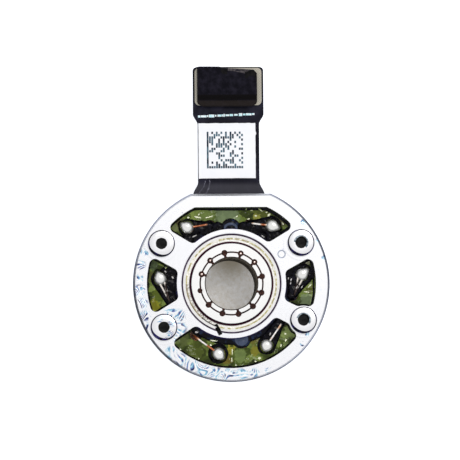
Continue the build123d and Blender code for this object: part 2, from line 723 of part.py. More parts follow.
def connector_tabs():
    """A hold-down tab at each end of the housing."""
    half_width = CONNECTOR_SIZE[0] / 2
    tabs = []
    for side in (-1, 1):
        wall_x = FLEX_X + side * (half_width + CONTACT_THICKNESS / 2)
        foot_x = FLEX_X + side * (half_width + TAB_REACH / 2)
        wall = block(
            CONTACT_THICKNESS, TAB_WIDTH, board_bottom - CONTACT_HEIGHT, board_bottom, (wall_x, stiffener_y)
        )
        foot_bottom = board_bottom - CONTACT_THICKNESS
        tabs.append(wall + block(TAB_REACH, TAB_WIDTH, foot_bottom, board_bottom, (foot_x, stiffener_y)))
    return group(tabs)


NODES = {
    "base_plate": base_plate,
    "threaded_bosses": threaded_bosses,
    "preload_washer": preload_washer,
    "rotor_shaft": rotor_shaft,
    "shaft_collar": shaft_collar,
    "weld_spots": weld_spots,
    "rotor_bell": rotor_bell,
    "rotor_magnets": rotor_magnets,
    "stator_laminations": stator_laminations,
    "rear_insulator": rear_insulator,
    "front_insulator": front_insulator,
    "stator_coils": stator_coils,
    "winding_board": winding_board,
    "winding_leads": winding_leads,
    "solder_joints": solder_joints,
    "resin_dabs": resin_dabs,
    "hall_sensors": hall_sensors,
    "flex_root": flex_root,
    "flex_tail": flex_tail,
    "label": label,
    "stiffener": stiffener,
    "foam_pad": foam_pad,
    "connector_housing": connector_housing,
    "connector_contacts": connector_contacts,
    "connector_tabs": connector_tabs,
}

os.makedirs("parts", exist_ok=True)
for name, make in NODES.items():
    export_step(make(), f"parts/{name}.step")
for end, level in (("front", front_bearing_z), ("rear", rear_bearing_z)):
    for piece, make in BEARING_PIECES.items():
        export_step(Pos(0, 0, level) * make(), f"parts/{end}_bearing_{piece}.step")
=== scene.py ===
import functools
import json
import math
import random

import bmesh
import bpy
from mathutils import Matrix, Vector, noise


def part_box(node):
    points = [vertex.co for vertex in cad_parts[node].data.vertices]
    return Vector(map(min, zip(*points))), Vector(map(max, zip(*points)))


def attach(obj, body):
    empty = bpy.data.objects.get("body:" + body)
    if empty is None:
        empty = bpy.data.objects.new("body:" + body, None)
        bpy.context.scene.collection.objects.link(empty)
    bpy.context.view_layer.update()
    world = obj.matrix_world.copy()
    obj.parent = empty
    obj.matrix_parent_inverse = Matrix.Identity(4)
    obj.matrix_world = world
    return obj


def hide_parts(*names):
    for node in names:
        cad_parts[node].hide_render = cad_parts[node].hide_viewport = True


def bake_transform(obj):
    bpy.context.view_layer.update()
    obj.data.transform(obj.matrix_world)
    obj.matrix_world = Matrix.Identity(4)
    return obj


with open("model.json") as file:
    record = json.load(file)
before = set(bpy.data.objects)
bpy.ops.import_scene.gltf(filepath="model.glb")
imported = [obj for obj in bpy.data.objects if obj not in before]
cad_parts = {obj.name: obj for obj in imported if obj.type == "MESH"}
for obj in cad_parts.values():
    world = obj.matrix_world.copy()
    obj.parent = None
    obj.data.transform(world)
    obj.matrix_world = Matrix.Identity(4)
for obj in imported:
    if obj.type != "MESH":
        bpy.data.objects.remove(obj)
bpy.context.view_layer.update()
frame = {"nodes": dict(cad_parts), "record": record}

# Pieces are written in millimetres in the motor's own frame: the axis is Z, the flex tail runs along +Y, and
# Z = 0 is the bell's rear face. Angles are degrees from +X, anticlockwise.
MM = 0.001


def box_of(node):
    """A solid's lowest and highest corner, in millimetres."""
    low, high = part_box(node)
    return low / MM, high / MM


# --- Levels and radii taken from the solids ---
board_bottom, board_top = (corner.z for corner in box_of("winding_board"))
boss_bottom, boss_top = (corner.z for corner in box_of("threaded_bosses"))
flex_bottom, flex_top = (corner.z for corner in box_of("flex_tail"))
shaft_r, _, shaft_top = box_of("rotor_shaft")[1]
bearing_r, _, ring_top = box_of("front_bearing_outer_ring")[1]
wire_r, _, wire_top = box_of("front_bearing_snap_wires")[1]
collar_r = box_of("shaft_collar")[1].x
plate_r = box_of("base_plate")[1].x
post_top = box_of("front_insulator")[1].z
root_y = box_of("flex_root")[0].y
tip_y = box_of("flex_tail")[1].y
flex_x = sum(corner.x for corner in box_of("flex_tail")) / 2

# --- Sizes that the pieces here share ---
PLATE_THICKNESS = 1.0
PLATE_RIM_R = plate_r - 1.55
HUB_R = bearing_r + 0.55
BORE_R = shaft_r - 0.6
WELD_COUNT = 12
WELD_FIRST_ANGLE = 12.5
SOLDER_R = 0.82
SOLDER_CIRCLE_R = 7.94
BOSS_CIRCLE_R = plate_r - 2.0
SPOKES = ((30.0, 3.7), (150.0, 3.4), (212.5, 3.55), (332.5, 2.1))
TOP_WINDOW_Y = 8.55
plate_top = board_top + PLATE_THICKNESS
DIMPLE_R = 0.42
POST_ANGLES = (90.0, 280.0)


def at(angle, radius, z=0.0):
    """The point at an angle and a radius round the axis."""
    turn = math.radians(angle)
    return Vector((radius * math.cos(turn), radius * math.sin(turn), z))


def smooth(value, start, end):
    """A soft step from 0 at the start to 1 at the end."""
    share = min(1.0, max(0.0, (value - start) / (end - start)))
    return share * share * (3 - 2 * share)


def wobble(point, size, seed=0.0):
    """Smooth noise from about -1 to 1, with bumps of the given size."""
    return noise.noise(Vector(point) / size + Vector((seed, seed, seed)))


# --- Materials ---
def linear(code):
    """An sRGB hex colour as linear red, green, blue and alpha."""
    parts = [int(code[place : place + 2], 16) / 255 for place in (1, 3, 5)]
    return (*[part / 12.92 if part <= 0.04045 else ((part + 0.055) / 1.055) ** 2.4 for part in parts], 1.0)


# Settings that a kind of node has unless a call says otherwise.
USUAL = {"Mix": {"data_type": "RGBA"}, "MapRange": {"interpolation_type": "SMOOTHSTEP"}}


def add(tree, kind, *inputs, out=0, stops=(), **named):
    """Adds a shader node, and gives one of its outputs.

    Kind is the node's name, and its operation after a space where it has one. Inputs are numbers, hex colours
    or other nodes' outputs, in the order that the node shows them. A name with a capital is a socket, with _
    for a space, and any other name is a setting.
    """
    kind, *operation = kind.split()
    made = tree.nodes.new("ShaderNode" + kind)
    named = {**USUAL.get(kind, {}), **{"operation": way for way in operation}, **named}
    for name, value in named.items():
        if name[0].islower():
            setattr(made, name, value)
    sockets = list(zip([socket for socket in made.inputs if socket.enabled], inputs))
    for name, value in named.items():
        if name[0].isupper():
            sockets.append((made.inputs[name.replace("_", " ")], value))
    for socket, value in sockets:
        if isinstance(value, bpy.types.NodeSocket):
            tree.links.new(value, socket)
        else:
            socket.default_value = linear(value) if isinstance(value, str) else value
    for number, (place, colour) in enumerate(stops):
        ramp = made.color_ramp.elements
        stop = ramp[number] if number < len(ramp) else ramp.new(place)
        stop.position = place
        stop.color = linear(colour)
    if isinstance(out, str):
        return made.outputs[out]
    outputs = [socket for socket in made.outputs if socket.enabled]
    return outputs[out] if outputs else None


def finish(shade):
    """Turns a function that gives a finish's shader into one that makes a material of a given name."""

    def make(name, *choices, **named):
        """Makes the material, with its nodes placed by the motor's own millimetres."""
        material = bpy.data.materials.new(name)
        material.use_nodes = True
        material.node_tree.nodes.clear()
        node = functools.partial(add, material.node_tree)
        place = node("VectorMath SCALE", node("TexCoord", out="Object"), 1 / MM)
        node("OutputMaterial", shade(node, place, *choices, **named))
        return material

    return make


def from_axis(node, place):
    """Distance from the motor's axis."""
    flat = node("VectorMath MULTIPLY", place, (1, 1, 0))
    return node("VectorMath LENGTH", flat)


def round_axis(node, place):
    """Degrees round the motor's axis, from -180 to 180."""
    x = node("SeparateXYZ", place, out="X")
    y = node("SeparateXYZ", place, out="Y")
    return node("Math DEGREES", node("Math ARCTAN2", y, x))


def band(node, value, middle, half, soft):
    """1 within a half width of the middle, and 0 further off than the soft edge."""
    off = node("Math ABSOLUTE", node("Math SUBTRACT", value, middle))
    return node("MapRange", off, half, half + soft, 1.0, 0.0)


def mottled(node, place, size, first, second, start=0.4, end=0.6, **noise_settings):
    """A colour in patches of two shades, and the noise that it follows."""
    patches = node("TexNoise", Vector=place, Scale=1 / size, **noise_settings)
    return node("Mix", node("MapRange", patches, start, end), first, second), patches


def grained(node, place, size, depth, **noise_settings):
    """A surface with soft bumps of a size and a depth, as the normal that the light meets."""
    bumps = node("TexNoise", Vector=place, Scale=1 / size, **noise_settings)
    return node("Bump", Height=bumps, Distance=depth * MM)


def rubbed(node, place, spots, level, spread):
    """Share of rubbing at a place: blots of a size near the listed spots, as (angle, distance, reach)."""
    near = 0.0
    for angle, distance, reach in spots:
        off = node("VectorMath DISTANCE", place, at(angle, distance, level))
        near = node("Math MAXIMUM", near, node("MapRange", off, reach * 0.5, reach, 1.0, 0.0))
    blots = node("TexNoise", Vector=place, Scale=0.6 / spread, Detail=0.3, Distortion=0.8)
    strokes = node("Math SINE", node("Math MULTIPLY", blots, 75.0))
    strokes = node("MapRange", strokes, -0.4, 0.4)
    return node("Math MULTIPLY", near, strokes)


def scuff_colour(node, place):
    """What a rubbed place shows: slate, violet, pale cyan and bare metal in turn."""
    shade = node("TexNoise", Vector=place, Scale=1 / 0.8, Detail=1.5, Distortion=1.2)
    stops = ((0.36, "#26345c"), (0.42, "#6d76b8"), (0.48, "#6fa6c8"), (0.54, "#a4d2e8"), (0.64, "#eef5fa"))
    return node("ValToRGB", shade, stops=stops)


DIMPLE_CENTRE = at(30.0, HUB_R + 0.03 + DIMPLE_R, plate_top)
SCUFFS = (  # angle, distance from the axis and reach of the rubbed places on the plate
    (160, 10.4, 0.5),
    (168, 10.3, 0.7),
    (176, 10.2, 0.6),
    (184, 10.3, 0.9),
    (192, 10.2, 0.8),
    (200, 10.3, 0.8),
    (207, 10.5, 0.6),
    (211, 6.9, 0.9),
    (204, 7.5, 0.8),
    (198, 8.3, 0.5),
    (221, 7.6, 0.9),
    (226, 8.6, 0.7),
    (228, 10.3, 0.9),
    (236, 10.2, 0.9),
    (244, 10.2, 1.0),
    (252, 10.25, 1.0),
    (260, 10.2, 1.0),
    (268, 10.2, 1.0),
    (276, 10.25, 0.9),
    (284, 10.3, 0.7),
    (292, 10.5, 0.4),
    (319, 10.4, 0.35),
    (326, 10.1, 0.4),
    (40.0, 10.6, 0.45),
    (26.0, 10.8, 0.4),
    (15.0, 10.8, 0.45),
    (159.5, 9.95, 0.35),
    (49.4, 9.2, 0.3),
)
BOSS_SCUFFS = (  # on the face of the lower left boss
    (205.5, 9.0, 0.55),
    (213.0, 8.0, 0.6),
    (219.0, 8.9, 0.5),
    (220.5, 9.6, 0.4),
)


@finish
def turned_aluminium(node, place):
    """Face-turned natural aluminium: near white, with fine ring marks, and blue-grey where it is rubbed."""
    radius = from_axis(node, place)
    height = node("SeparateXYZ", place, out="Z")
    across = node("Math ADD", radius, height)
    # drawn twice as coarse as the tool's real feed, so that it shows
    feed = node("TexNoise", W=across, Scale=1 / 0.09, Detail=2.0, noise_dimensions="1D")
    grain = node("TexNoise", Vector=place, Scale=1 / 0.06, Detail=2.0)
    scuff = rubbed(node, place, SCUFFS, plate_top, 1.5)
    specks = node("TexVoronoi", Vector=place, Scale=1 / 1.1)
    specks = node("MapRange", specks, 0.05, 0.08, 0.5, 0.0)
    marks = node("Math MAXIMUM", scuff, specks)
    tint = node("Mix", marks, "#f6f7fb", scuff_colour(node, place))
    angle = round_axis(node, place)
    # painted shade: a violet outline along the top of the plate's rim, darker on the lower left side away
    # from the lamp
    rim = node("MapRange", radius, plate_r - 0.16, plate_r - 0.07)
    rim = node("Math MULTIPLY", rim, band(node, height, plate_top, 0.2, 0.03))
    under = band(node, angle, -120.0, 50.0, 40.0)
    rim_shade = node("Mix", under, "#9aa2c4", "#39435e")
    tint = node("Mix", rim, tint, rim_shade)
    # painted shade: a grey ring round the edge of the dimple
    off = node("VectorMath DISTANCE", place, DIMPLE_CENTRE)
    tint = node("Mix", band(node, off, DIMPLE_R, 0.02, 0.06), tint, "#a9b1c2")
    # painted shade: dark violet on the plate's bore wall that holds the bearing
    inside = node("MapRange", radius, bearing_r + 0.05, bearing_r + 0.12, 1.0, 0.0)
    tint = node("Mix", inside, tint, "#4e3e58")
    rough = node("MapRange", grain, 0.3, 0.7, 0.24, 0.34)
    corner = node("Math MULTIPLY", band(node, radius, bearing_r + 0.05, 0.15, 0.03), 0.4)
    rough = node("Math ADD", rough, corner)
    fine = node("Bump", Height=feed, Distance=0.0012 * MM)
    fine = node("Bump", Height=scuff, Distance=-0.004 * MM, Normal=fine)
    return node("BsdfPrincipled", Base_Color=tint, Metallic=1.0, Roughness=rough, Normal=fine)


@finish
def turned_steel(node, place, colour, rough, dark=(), wall_r=0.0, burns=("#1d0f10", "#3e2420")):
    """Turned steel with fine ring marks. Dark rings are (radius, half width): heat tint at the weld circle
    and painted shade at other edges; a bore wall is painted dark and matt as shade.
    """
    radius = from_axis(node, place)
    feed = node("TexNoise", W=radius, Scale=1 / 0.06, Detail=2.0, noise_dimensions="1D")
    tint, _ = mottled(node, place, 0.8, colour, "#fdfdfd", 0.3, 0.7)
    burnt, _ = mottled(node, place, 0.4, *burns)
    # dark rings: heat tint at the weld circle, painted shade at the other edges and joints
    for distance, half in dark:
        tint = node("Mix", band(node, radius, distance, half, 0.035), tint, burnt)
    # painted shade: the bore wall is dark brown-grey and matt, as the shade inside the bore
    wall = node("MapRange", radius, wall_r + 0.01, wall_r + 0.03, 1.0, 0.0)
    bore_wall_shade = node("TexNoise", Vector=place, Scale=1 / 1.5)
    bore_wall_shade = node("Mix", bore_wall_shade, "#4a443c", "#857d6e")
    tint = node("Mix", wall, tint, bore_wall_shade)
    bright = node("Math SUBTRACT", 1.0, wall)
    fine = node("Bump", Height=feed, Distance=0.0004 * MM)
    corner = node("Math MULTIPLY", band(node, radius, wire_r + 0.1, 0.1, 0.03), 0.5)
    grip = node("MapRange", wall, 0.0, 1.0, rough, 0.75, interpolation_type="LINEAR")
    grip = node("Math ADD", grip, corner)
    return node("BsdfPrincipled", Base_Color=tint, Metallic=bright, Roughness=grip, Normal=fine)


@finish
def plain_steel(node, place, colour, second, rough, size=0.6, depth=0.001, drawn=0.0):
    """Steel or plating in two near shades with a fine grain; drawn is the depth of its ring marks."""
    tint, patches = mottled(node, place, size, colour, second, 0.35, 0.65)
    spread = node("MapRange", patches, 0.3, 0.7, rough - 0.02, rough + 0.02)
    fine = grained(node, place, 0.04, depth)
    if drawn:
        across = node("Math ADD", from_axis(node, place), node("SeparateXYZ", place, out="Z"))
        rings = node("TexNoise", W=across, Scale=1 / 0.2, Detail=3.0, noise_dimensions="1D")
        fine = node("Bump", Height=rings, Distance=drawn * MM, Normal=fine)
    return node("BsdfPrincipled", Base_Color=tint, Metallic=1.0, Roughness=spread, Normal=fine)


@finish
def boss_face(node, place):
    """Turned face of a pressed-in boss: near white with a fine grain, and rubbed blue-grey on one boss."""
    scuff = rubbed(node, place, BOSS_SCUFFS, boss_top, 0.7)
    tint = node("Mix", scuff, "#f7f7fa", scuff_colour(node, place))
    fine = grained(node, place, 0.05, 0.0008)
    return node("BsdfPrincipled", Base_Color=tint, Metallic=1.0, Roughness=0.26, Normal=fine)


@finish
def shield_steel(node, place):
    """Pressed shield: bright, with brown grime towards the lower left, and painted shade at its inner edge
    under the collar's step.
    """
    radius, angle = from_axis(node, place), round_axis(node, place)
    side = band(node, angle, -160.0, 35.0, 25.0)
    blots = node("TexNoise", Vector=place, Scale=1 / 0.22, Detail=5.0, Roughness=0.7, Distortion=0.8)
    blots = node("MapRange", blots, 0.46, 0.6)
    reach = node("MapRange", side, 0.0, 1.0, 0.12, 0.95, interpolation_type="LINEAR")
    dirt = node("Math MULTIPLY", blots, reach)
    tint = node("Mix", dirt, "#f3f1ec", "#57483c")
    # painted shade where the collar's step shades the shield
    collar_step_shade = node("MapRange", radius, collar_r + 0.13, collar_r + 0.2, 1.0, 0.0)
    tint = node("Mix", collar_step_shade, tint, "#3a1628")
    fine = node("Bump", Height=blots, Distance=0.003 * MM)
    return node("BsdfPrincipled", Base_Color=tint, Metallic=1.0, Roughness=0.32, Normal=fine)


@finish
def straw_wire(node, place):
    """Tempered spring wire: straw and olive in broken lengths, browner towards the lower left."""
    angle = round_axis(node, place)
    worn = node("TexNoise", Vector=place, Scale=1 / 0.45, Detail=3.0)
    stops = ((0.4, "#f1efe6"), (0.5, "#cfc897"), (0.58, "#a29b6c"), (0.66, "#c0b49e"))
    tint = node("ValToRGB", worn, stops=stops)
    side = band(node, angle, -165.0, 30.0, 30.0)
    tint = node("Mix", node("Math MULTIPLY", side, 0.6), tint, "#6b5a4a")
    fine = node("Bump", Height=worn, Distance=0.01 * MM)
    return node("BsdfPrincipled", Base_Color=tint, Metallic=1.0, Roughness=0.3, Normal=fine)


@finish
def weld_oxide(node, place):
    """Spot weld: brown-black oxide, rough and pitted."""
    tint, pits = mottled(node, place, 0.12, "#180c0b", "#4c2e26", 0.4, 0.62, Detail=4.0)
    fine = node("Bump", Height=pits, Distance=0.012 * MM)
    return node(
        "BsdfPrincipled", Base_Color=tint, Metallic=0.2, Roughness=0.55, Normal=fine, Specular_IOR_Level=0.15
    )


FLAKE_TILT = 0.3
FLUX_STAINS_AND_WALL_SHADE = (  # place, reach and colour of paler, yellow or brown dried flux; the dark brown and olive ones near the opening walls are painted shade
    (-8.2, -1.3, 0.8, "#5f6c20"),
    (-8.6, -2.4, 0.8, "#8c8a1c"),
    (-8.7, 2.1, 0.7, "#465236"),
    (-9.1, 0.8, 0.7, "#56562a"),
    (8.5, -1.9, 1.0, "#7b8a62"),
    (8.9, -0.7, 0.45, "#4a4a10"),
    (8.6, 2.3, 0.45, "#8f8f74"),
    (9.2, 1.2, 0.5, "#4a3c2c"),
    (-2.6, 7.7, 1.0, "#6c7d3f"),
    (-0.4, 7.7, 1.5, "#76865f"),
    (3.4, 7.7, 1.2, "#5a6222"),
    (2.8, 7.6, 0.5, "#a0a046"),
    (-6.2, 6.2, 0.6, "#6a7048"),
    (-5.8, 6.9, 0.5, "#4a3f2c"),
    (5.9, 6.9, 0.6, "#4a4230"),
    (-4.0, -7.5, 1.3, "#465018"),
    (-5.4, -6.3, 0.8, "#5c6634"),
    (-0.4, -8.5, 0.6, "#7a6e28"),
    (-0.1, -7.4, 0.5, "#a8a034"),
    (0.9, -8.0, 0.9, "#76884a"),
    (2.6, -7.6, 0.6, "#7c7824"),
    (2.5, -6.4, 0.6, "#6a6628"),
    (6.4, -5.6, 0.8, "#869656"),
    (6.1, -6.8, 0.6, "#76864a"),
)


@finish
def laminate(node, place):
    """Olive solder mask under dried flux: glossy flakes, paler in the top window, yellow by some joints, with
    painted shade by the opening walls.
    """
    bent = node("TexNoise", Vector=place, Scale=1 / 0.7, Detail=2.0, out="Color")
    bent = node("VectorMath ADD", node("VectorMath SCALE", bent, 0.9), place)
    flake = node("TexVoronoi", Vector=bent, Scale=1 / 0.95, out="Color")
    shade = node("SeparateXYZ", flake, out="X")
    mottle = node("TexNoise", Vector=place, Scale=1 / 1.2, Detail=4.0, Distortion=0.6)
    shade = node("Mix", 0.62, shade, mottle, data_type="FLOAT")
    tint = node("ValToRGB", shade, stops=((0.3, "#323c10"), (0.5, "#4d5c1e"), (0.7, "#75853f")))
    edges = node("TexNoise", Vector=place, Scale=1 / 0.5, Detail=3.0, Distortion=1.0)
    edges = node("MapRange", edges, 0.3, 0.7, -0.3, 0.3, interpolation_type="LINEAR")
    # the dark brown and olive patches near the opening walls are painted shade
    for x, y, reach, colour in FLUX_STAINS_AND_WALL_SHADE:
        off = node("VectorMath DISTANCE", place, (x, y, board_top))
        off = node("Math ADD", off, edges)
        share = node("MapRange", off, reach * 0.65, reach, 0.9, 0.0)
        tint = node("Mix", share, tint, colour)
    gain = node("MapRange", shade, 0.3, 0.7, 0.75, 1.2, interpolation_type="LINEAR")
    tint = node("VectorMath SCALE", tint, gain)
    tilt = node("VectorMath SUBTRACT", flake, (0.5, 0.5, 0.5))
    tilt = node("VectorMath SCALE", tilt, FLAKE_TILT)
    fine = grained(node, place, 0.6, 0.12, Detail=1.0)
    facet = node("VectorMath ADD", fine, tilt)
    facet = node("VectorMath NORMALIZE", facet)
    return node("BsdfPrincipled", Base_Color=tint, Roughness=0.1, Normal=facet, Specular_IOR_Level=0.16)


@finish
def glossy(node, place, deep, light, size, depth, rough=0.16, shine=0.1):
    """A dark glossy plastic or resin in two near shades, with soft lumps that catch the lamp."""
    tint, _ = mottled(node, place, size, deep, light, 0.45, 0.66)
    fine = grained(node, place, size, depth, Detail=1.0)
    return node("BsdfPrincipled", Base_Color=tint, Roughness=rough, Normal=fine, Specular_IOR_Level=shine)


@finish
def navy_nylon(node, place):
    """Moulded navy nylon: near black, with painted blue-grey highlight on the posts' tops and painted violet
    shade at the hub's foot.
    """
    tint, patches = mottled(node, place, 0.6, "#06060f", "#1e2c48", 0.52, 0.7, Detail=2.0)
    # painted highlight: blue-grey on the tops of the two posts
    faces = ((HUB_R - 0.08, 0.76, 0.08), (HUB_R + 0.25, 0.3, 0.4))
    for angle, (distance, middle, half) in zip(POST_ANGLES, faces):
        off = node("VectorMath DISTANCE", place, at(angle, distance, post_top))
        tint = node("Mix", band(node, off, middle, half, 0.1), tint, "#4c566c")
    # painted shade: violet at the foot of the hub's wall
    foot = node("MapRange", from_axis(node, place), HUB_R + 0.1, HUB_R + 0.22, 0.7, 0.0)
    tint = node("Mix", foot, tint, "#2c1c5c")
    fine = node("Bump", Height=patches, Distance=0.05 * MM)
    return node("BsdfPrincipled", Base_Color=tint, Roughness=0.2, Normal=fine, Specular_IOR_Level=0.12)


@finish
def enamelled_copper(node, place):
    """Enamelled copper wire: orange-brown with pale painted highlights; in the two side openings, dark where
    resin covers it and painted pale as a highlight further out.
    """
    worn = node("TexNoise", Vector=place, Scale=1 / 1.0, Detail=0.0)
    # the palest stops are painted highlights
    tint = node("ValToRGB", worn, stops=((0.36, "#b8683f"), (0.44, "#f0c4a0"), (0.5, "#fffaf4")))
    level = node("Math ABSOLUTE", node("SeparateXYZ", place, out="Y"))
    drowned = node("MapRange", level, 3.2, 3.8, 1.0, 0.0)
    runs = node("TexNoise", Vector=place, Scale=1 / 0.6, Detail=1.0)
    reach = node("Math ADD", from_axis(node, place), runs)
    # pale further from the axis is painted highlight; dark nearer the axis is the wire under resin
    resin = node("MapRange", reach, 7.85, 8.1)
    resin = node("Mix", resin, "#2a1812", "#f4ece2")
    tint = node("Mix", drowned, tint, resin)
    return node(
        "BsdfPrincipled", Base_Color=tint, Metallic=0.5, Roughness=0.3, Coat_Weight=0.3, Coat_Roughness=0.05
    )


COIL_COUNT = 9
FIRST_COIL_ANGLE = 30.0
WIRE_PITCH = 0.2  # wire of 0.18 mm, laid side by side


@finish
def wound_copper(node, place):
    """Windings: turns of enamelled wire side by side, so each coil is ribbed across its tooth, with painted
    shade in the grooves between turns.
    """
    half_pitch = 180 / COIL_COUNT
    turned = node("Math ADD", round_axis(node, place), 360.0 - FIRST_COIL_ANGLE + half_pitch)
    folded = node("Math PINGPONG", turned, half_pitch)
    local = node("Math SUBTRACT", folded, half_pitch / 2)
    local = node("Math COSINE", node("Math RADIANS", local))
    along = node("Math MULTIPLY", from_axis(node, place), local)
    turns = node("Math MULTIPLY", along, 2 * math.pi / WIRE_PITCH)
    turns = node("Math SINE", turns)
    # painted shade: darker in the grooves between turns
    share = node("MapRange", turns, -1.0, 0.4)
    tint = node("Mix", share, "#5c2a14", "#c87a4a")
    fine = node("Bump", Height=turns, Distance=0.05 * MM)
    return node("BsdfPrincipled", Base_Color=tint, Metallic=0.9, Roughness=0.3, Coat_Weight=0.5, Normal=fine)


DOME_HEIGHT = 0.8


@finish
def bright_solder(node, place):
    """Solder: bright tin, painted greyer and a little green at its foot and white at its top, as shade and
    highlight.
    """
    height = node("SeparateXYZ", place, out="Z")
    # painted shade and highlight: dark at the foot, white at the top
    stops = ((0.0, "#1c1c16"), (0.2, "#4c4c40"), (0.5, "#a2a294"), (0.8, "#fafaf8"))
    lift = node("MapRange", height, board_top, board_top + DOME_HEIGHT, interpolation_type="LINEAR")
    tint = node("ValToRGB", lift, stops=stops)
    fine = grained(node, place, 0.6, 0.03, Detail=1.0)
    return node("BsdfPrincipled", Base_Color=tint, Metallic=1.0, Roughness=0.2, Normal=fine)


@finish
def coverlay(node, place):
    """Black polyimide coverlay: satin, with faint traces under it."""
    x = node("SeparateXYZ", place, out="X")
    wave = node("Math SINE", node("Math MULTIPLY", x, 2 * math.pi / 0.36))
    traces = node("MapRange", wave, 0.2, 0.8)
    tint, clouds = mottled(node, place, 1.6, "#0c0c1a", "#201f2e", 0.4, 0.7, Detail=3.0)
    y = node("SeparateXYZ", place, out="Y")
    # painted light: paler near the root, where the flex turns up to the light
    root_light = node("MapRange", y, 10.9, 11.6, 0.55, 0.0)
    tint = node("Mix", root_light, tint, "#4a494f")
    fine = node("Bump", Height=traces, Distance=0.003 * MM)
    fine = node("Bump", Height=clouds, Distance=0.03 * MM, Normal=fine)
    return node("BsdfPrincipled", Base_Color=tint, Roughness=0.4, Normal=fine, Specular_IOR_Level=0.1)


@finish
def label_paper(node, place):
    """White polyester label: smooth and matt, with a faint tooth."""
    tint, _ = mottled(node, place, 1.4, "#fbfbfc", "#f8f9fb", 0.4, 0.7)
    fine = grained(node, place, 0.05, 0.001)
    return node("BsdfPrincipled", Base_Color=tint, Roughness=0.5, Normal=fine, Specular_IOR_Level=0.5)


@finish
def ink(node, place, colour, second, size=0.25):
    """Printed ink, slightly uneven."""
    tint, worn = mottled(node, place, size, colour, second, 0.4, 0.62)
    fine = node("Bump", Height=worn, Distance=0.004 * MM)
    return node("BsdfPrincipled", Base_Color=tint, Roughness=0.5, Normal=fine, Specular_IOR_Level=0.1)


@finish
def bonded_laminate(node, place):
    """Cream glass-epoxy stiffener: faint weave, waxy sheen."""
    waves = []
    for axis in "XY":
        along = node("Math MULTIPLY", node("SeparateXYZ", place, out=axis), 2 * math.pi / 0.3)
        waves.append(node("Math SINE", along))
    weave = node("Math MULTIPLY", waves[0], waves[1])
    tint = node("Mix", node("MapRange", weave, -1.0, 1.0, interpolation_type="LINEAR"), "#a59f8e", "#c0baa9")
    fine = node("Bump", Height=weave, Distance=0.003 * MM)
    return node("BsdfPrincipled", Base_Color=tint, Roughness=0.42, Normal=fine, IOR=1.55)


FOAM_CRUSH_Y = 20.45


@finish
def torn_foam(node, place):
    """Black foam tape: open cells that catch no light, with painted shading along its crushed near edge:
    browner at the edge, darker in the band behind it.
    """
    cells = node("TexVoronoi", Vector=place, Scale=1 / 0.16)
    tint, clouds = mottled(node, place, 0.9, "#100f16", "#211f29", 0.38, 0.66, Detail=5.0, Roughness=0.65)
    y = node("SeparateXYZ", place, out="Y")
    # painted shading of the crushed near edge
    edge = node("MapRange", y, FOAM_CRUSH_Y, FOAM_CRUSH_Y + 0.2, 0.7, 0.0)
    tint = node("Mix", edge, tint, "#2b2521")
    crush_shade = band(node, y, FOAM_CRUSH_Y + 0.45, 0.22, 0.15)
    tint = node("Mix", crush_shade, tint, "#0f0d0e")
    fine = node("Bump", Height=clouds, Distance=0.08 * MM)
    fine = node("Bump", Height=cells, Distance=0.04 * MM, Normal=fine)
    return node("BsdfPrincipled", Base_Color=tint, Roughness=0.8, Normal=fine, Specular_IOR_Level=0.06)


@finish
def moulded(node, place, colour, second, rough=0.4):
    """Moulded plastic with a fine spark-eroded grain."""
    tint, _ = mottled(node, place, 0.6, colour, second)
    fine = grained(node, place, 0.05, 0.003, Detail=2.0)
    return node("BsdfPrincipled", Base_Color=tint, Roughness=rough, Normal=fine, Specular_IOR_Level=0.3)


MATERIALS = {
    "machined_aluminium": turned_aluminium("turned_aluminium"),
    # painted shade: the dark ring at the bearing's outer edge, where it meets the plate
    "bearing_steel": turned_steel(
        "ground_bearing_steel", "#f8f8f7", 0.24, [(bearing_r, 0.09)], burns=("#3e3246", "#6e5e76")
    ),
    "polished_balls": plain_steel("lapped_bearing_balls", "#e4e4e6", "#d6d6da", 0.07),
    "pressed_steel": shield_steel("pressed_shield_steel"),
    "straw_spring_wire": straw_wire("tempered_spring_wire"),
    # dark rings: heat tint at the weld circle on the shaft's edge, painted shade at the bore's and the
    # collar's edges
    "stainless_steel": turned_steel(
        "turned_stainless_steel", "#fafaf9", 0.26, [(shaft_r, 0.07), (BORE_R, 0.08), (collar_r, 0.05)], BORE_R
    ),
    "weld_metal": weld_oxide("oxidised_weld_metal"),
    "nickel_plated_steel": plain_steel(
        "bright_nickel_plating", "#c9c7c0", "#c4c2ba", 0.22, 0.8, 0.0006, drawn=0.004
    ),
    "plated_magnet": plain_steel("nickel_plated_magnet", "#b9b9bc", "#a2a2a8", 0.22),
    "silicon_steel": plain_steel("varnished_silicon_steel", "#55585e", "#40434a", 0.36),
    "navy_nylon": navy_nylon("moulded_navy_nylon"),
    "enamelled_copper": wound_copper("wound_enamelled_copper"),
    "olive_laminate": laminate("olive_solder_mask_laminate"),
    "solder": bright_solder("tin_solder"),
    "dark_resin": glossy("cured_dark_epoxy_resin", "#030206", "#14131d", 0.4, 0.12, 0.12),
    "black_epoxy": moulded("moulded_black_epoxy", "#141416", "#1f1f23"),
    "black_flex": coverlay("black_polyimide_coverlay"),
    "white_label": label_paper("white_polyester_label"),
    "cream_stiffener": bonded_laminate("cream_glass_epoxy"),
    "black_foam": torn_foam("black_urethane_foam"),
    "black_lcp": moulded("moulded_black_polymer", "#17171a", "#242428", 0.5),
    "gilt_contact": plain_steel("gold_flashed_contact", "#e6c476", "#d0a850", 0.24),
}
BOSS_STEEL = boss_face("turned_boss_steel")
LEAD_WIRE = enamelled_copper("enamelled_copper_wire")
OILED_THREAD = moulded("oiled_tapped_thread", "#0a0a0c", "#33332f", 0.3)
BRUISED_THREAD = plain_steel("bruised_thread_mouth", "#4a5a66", "#a9b4bc", 0.4, 0.25)
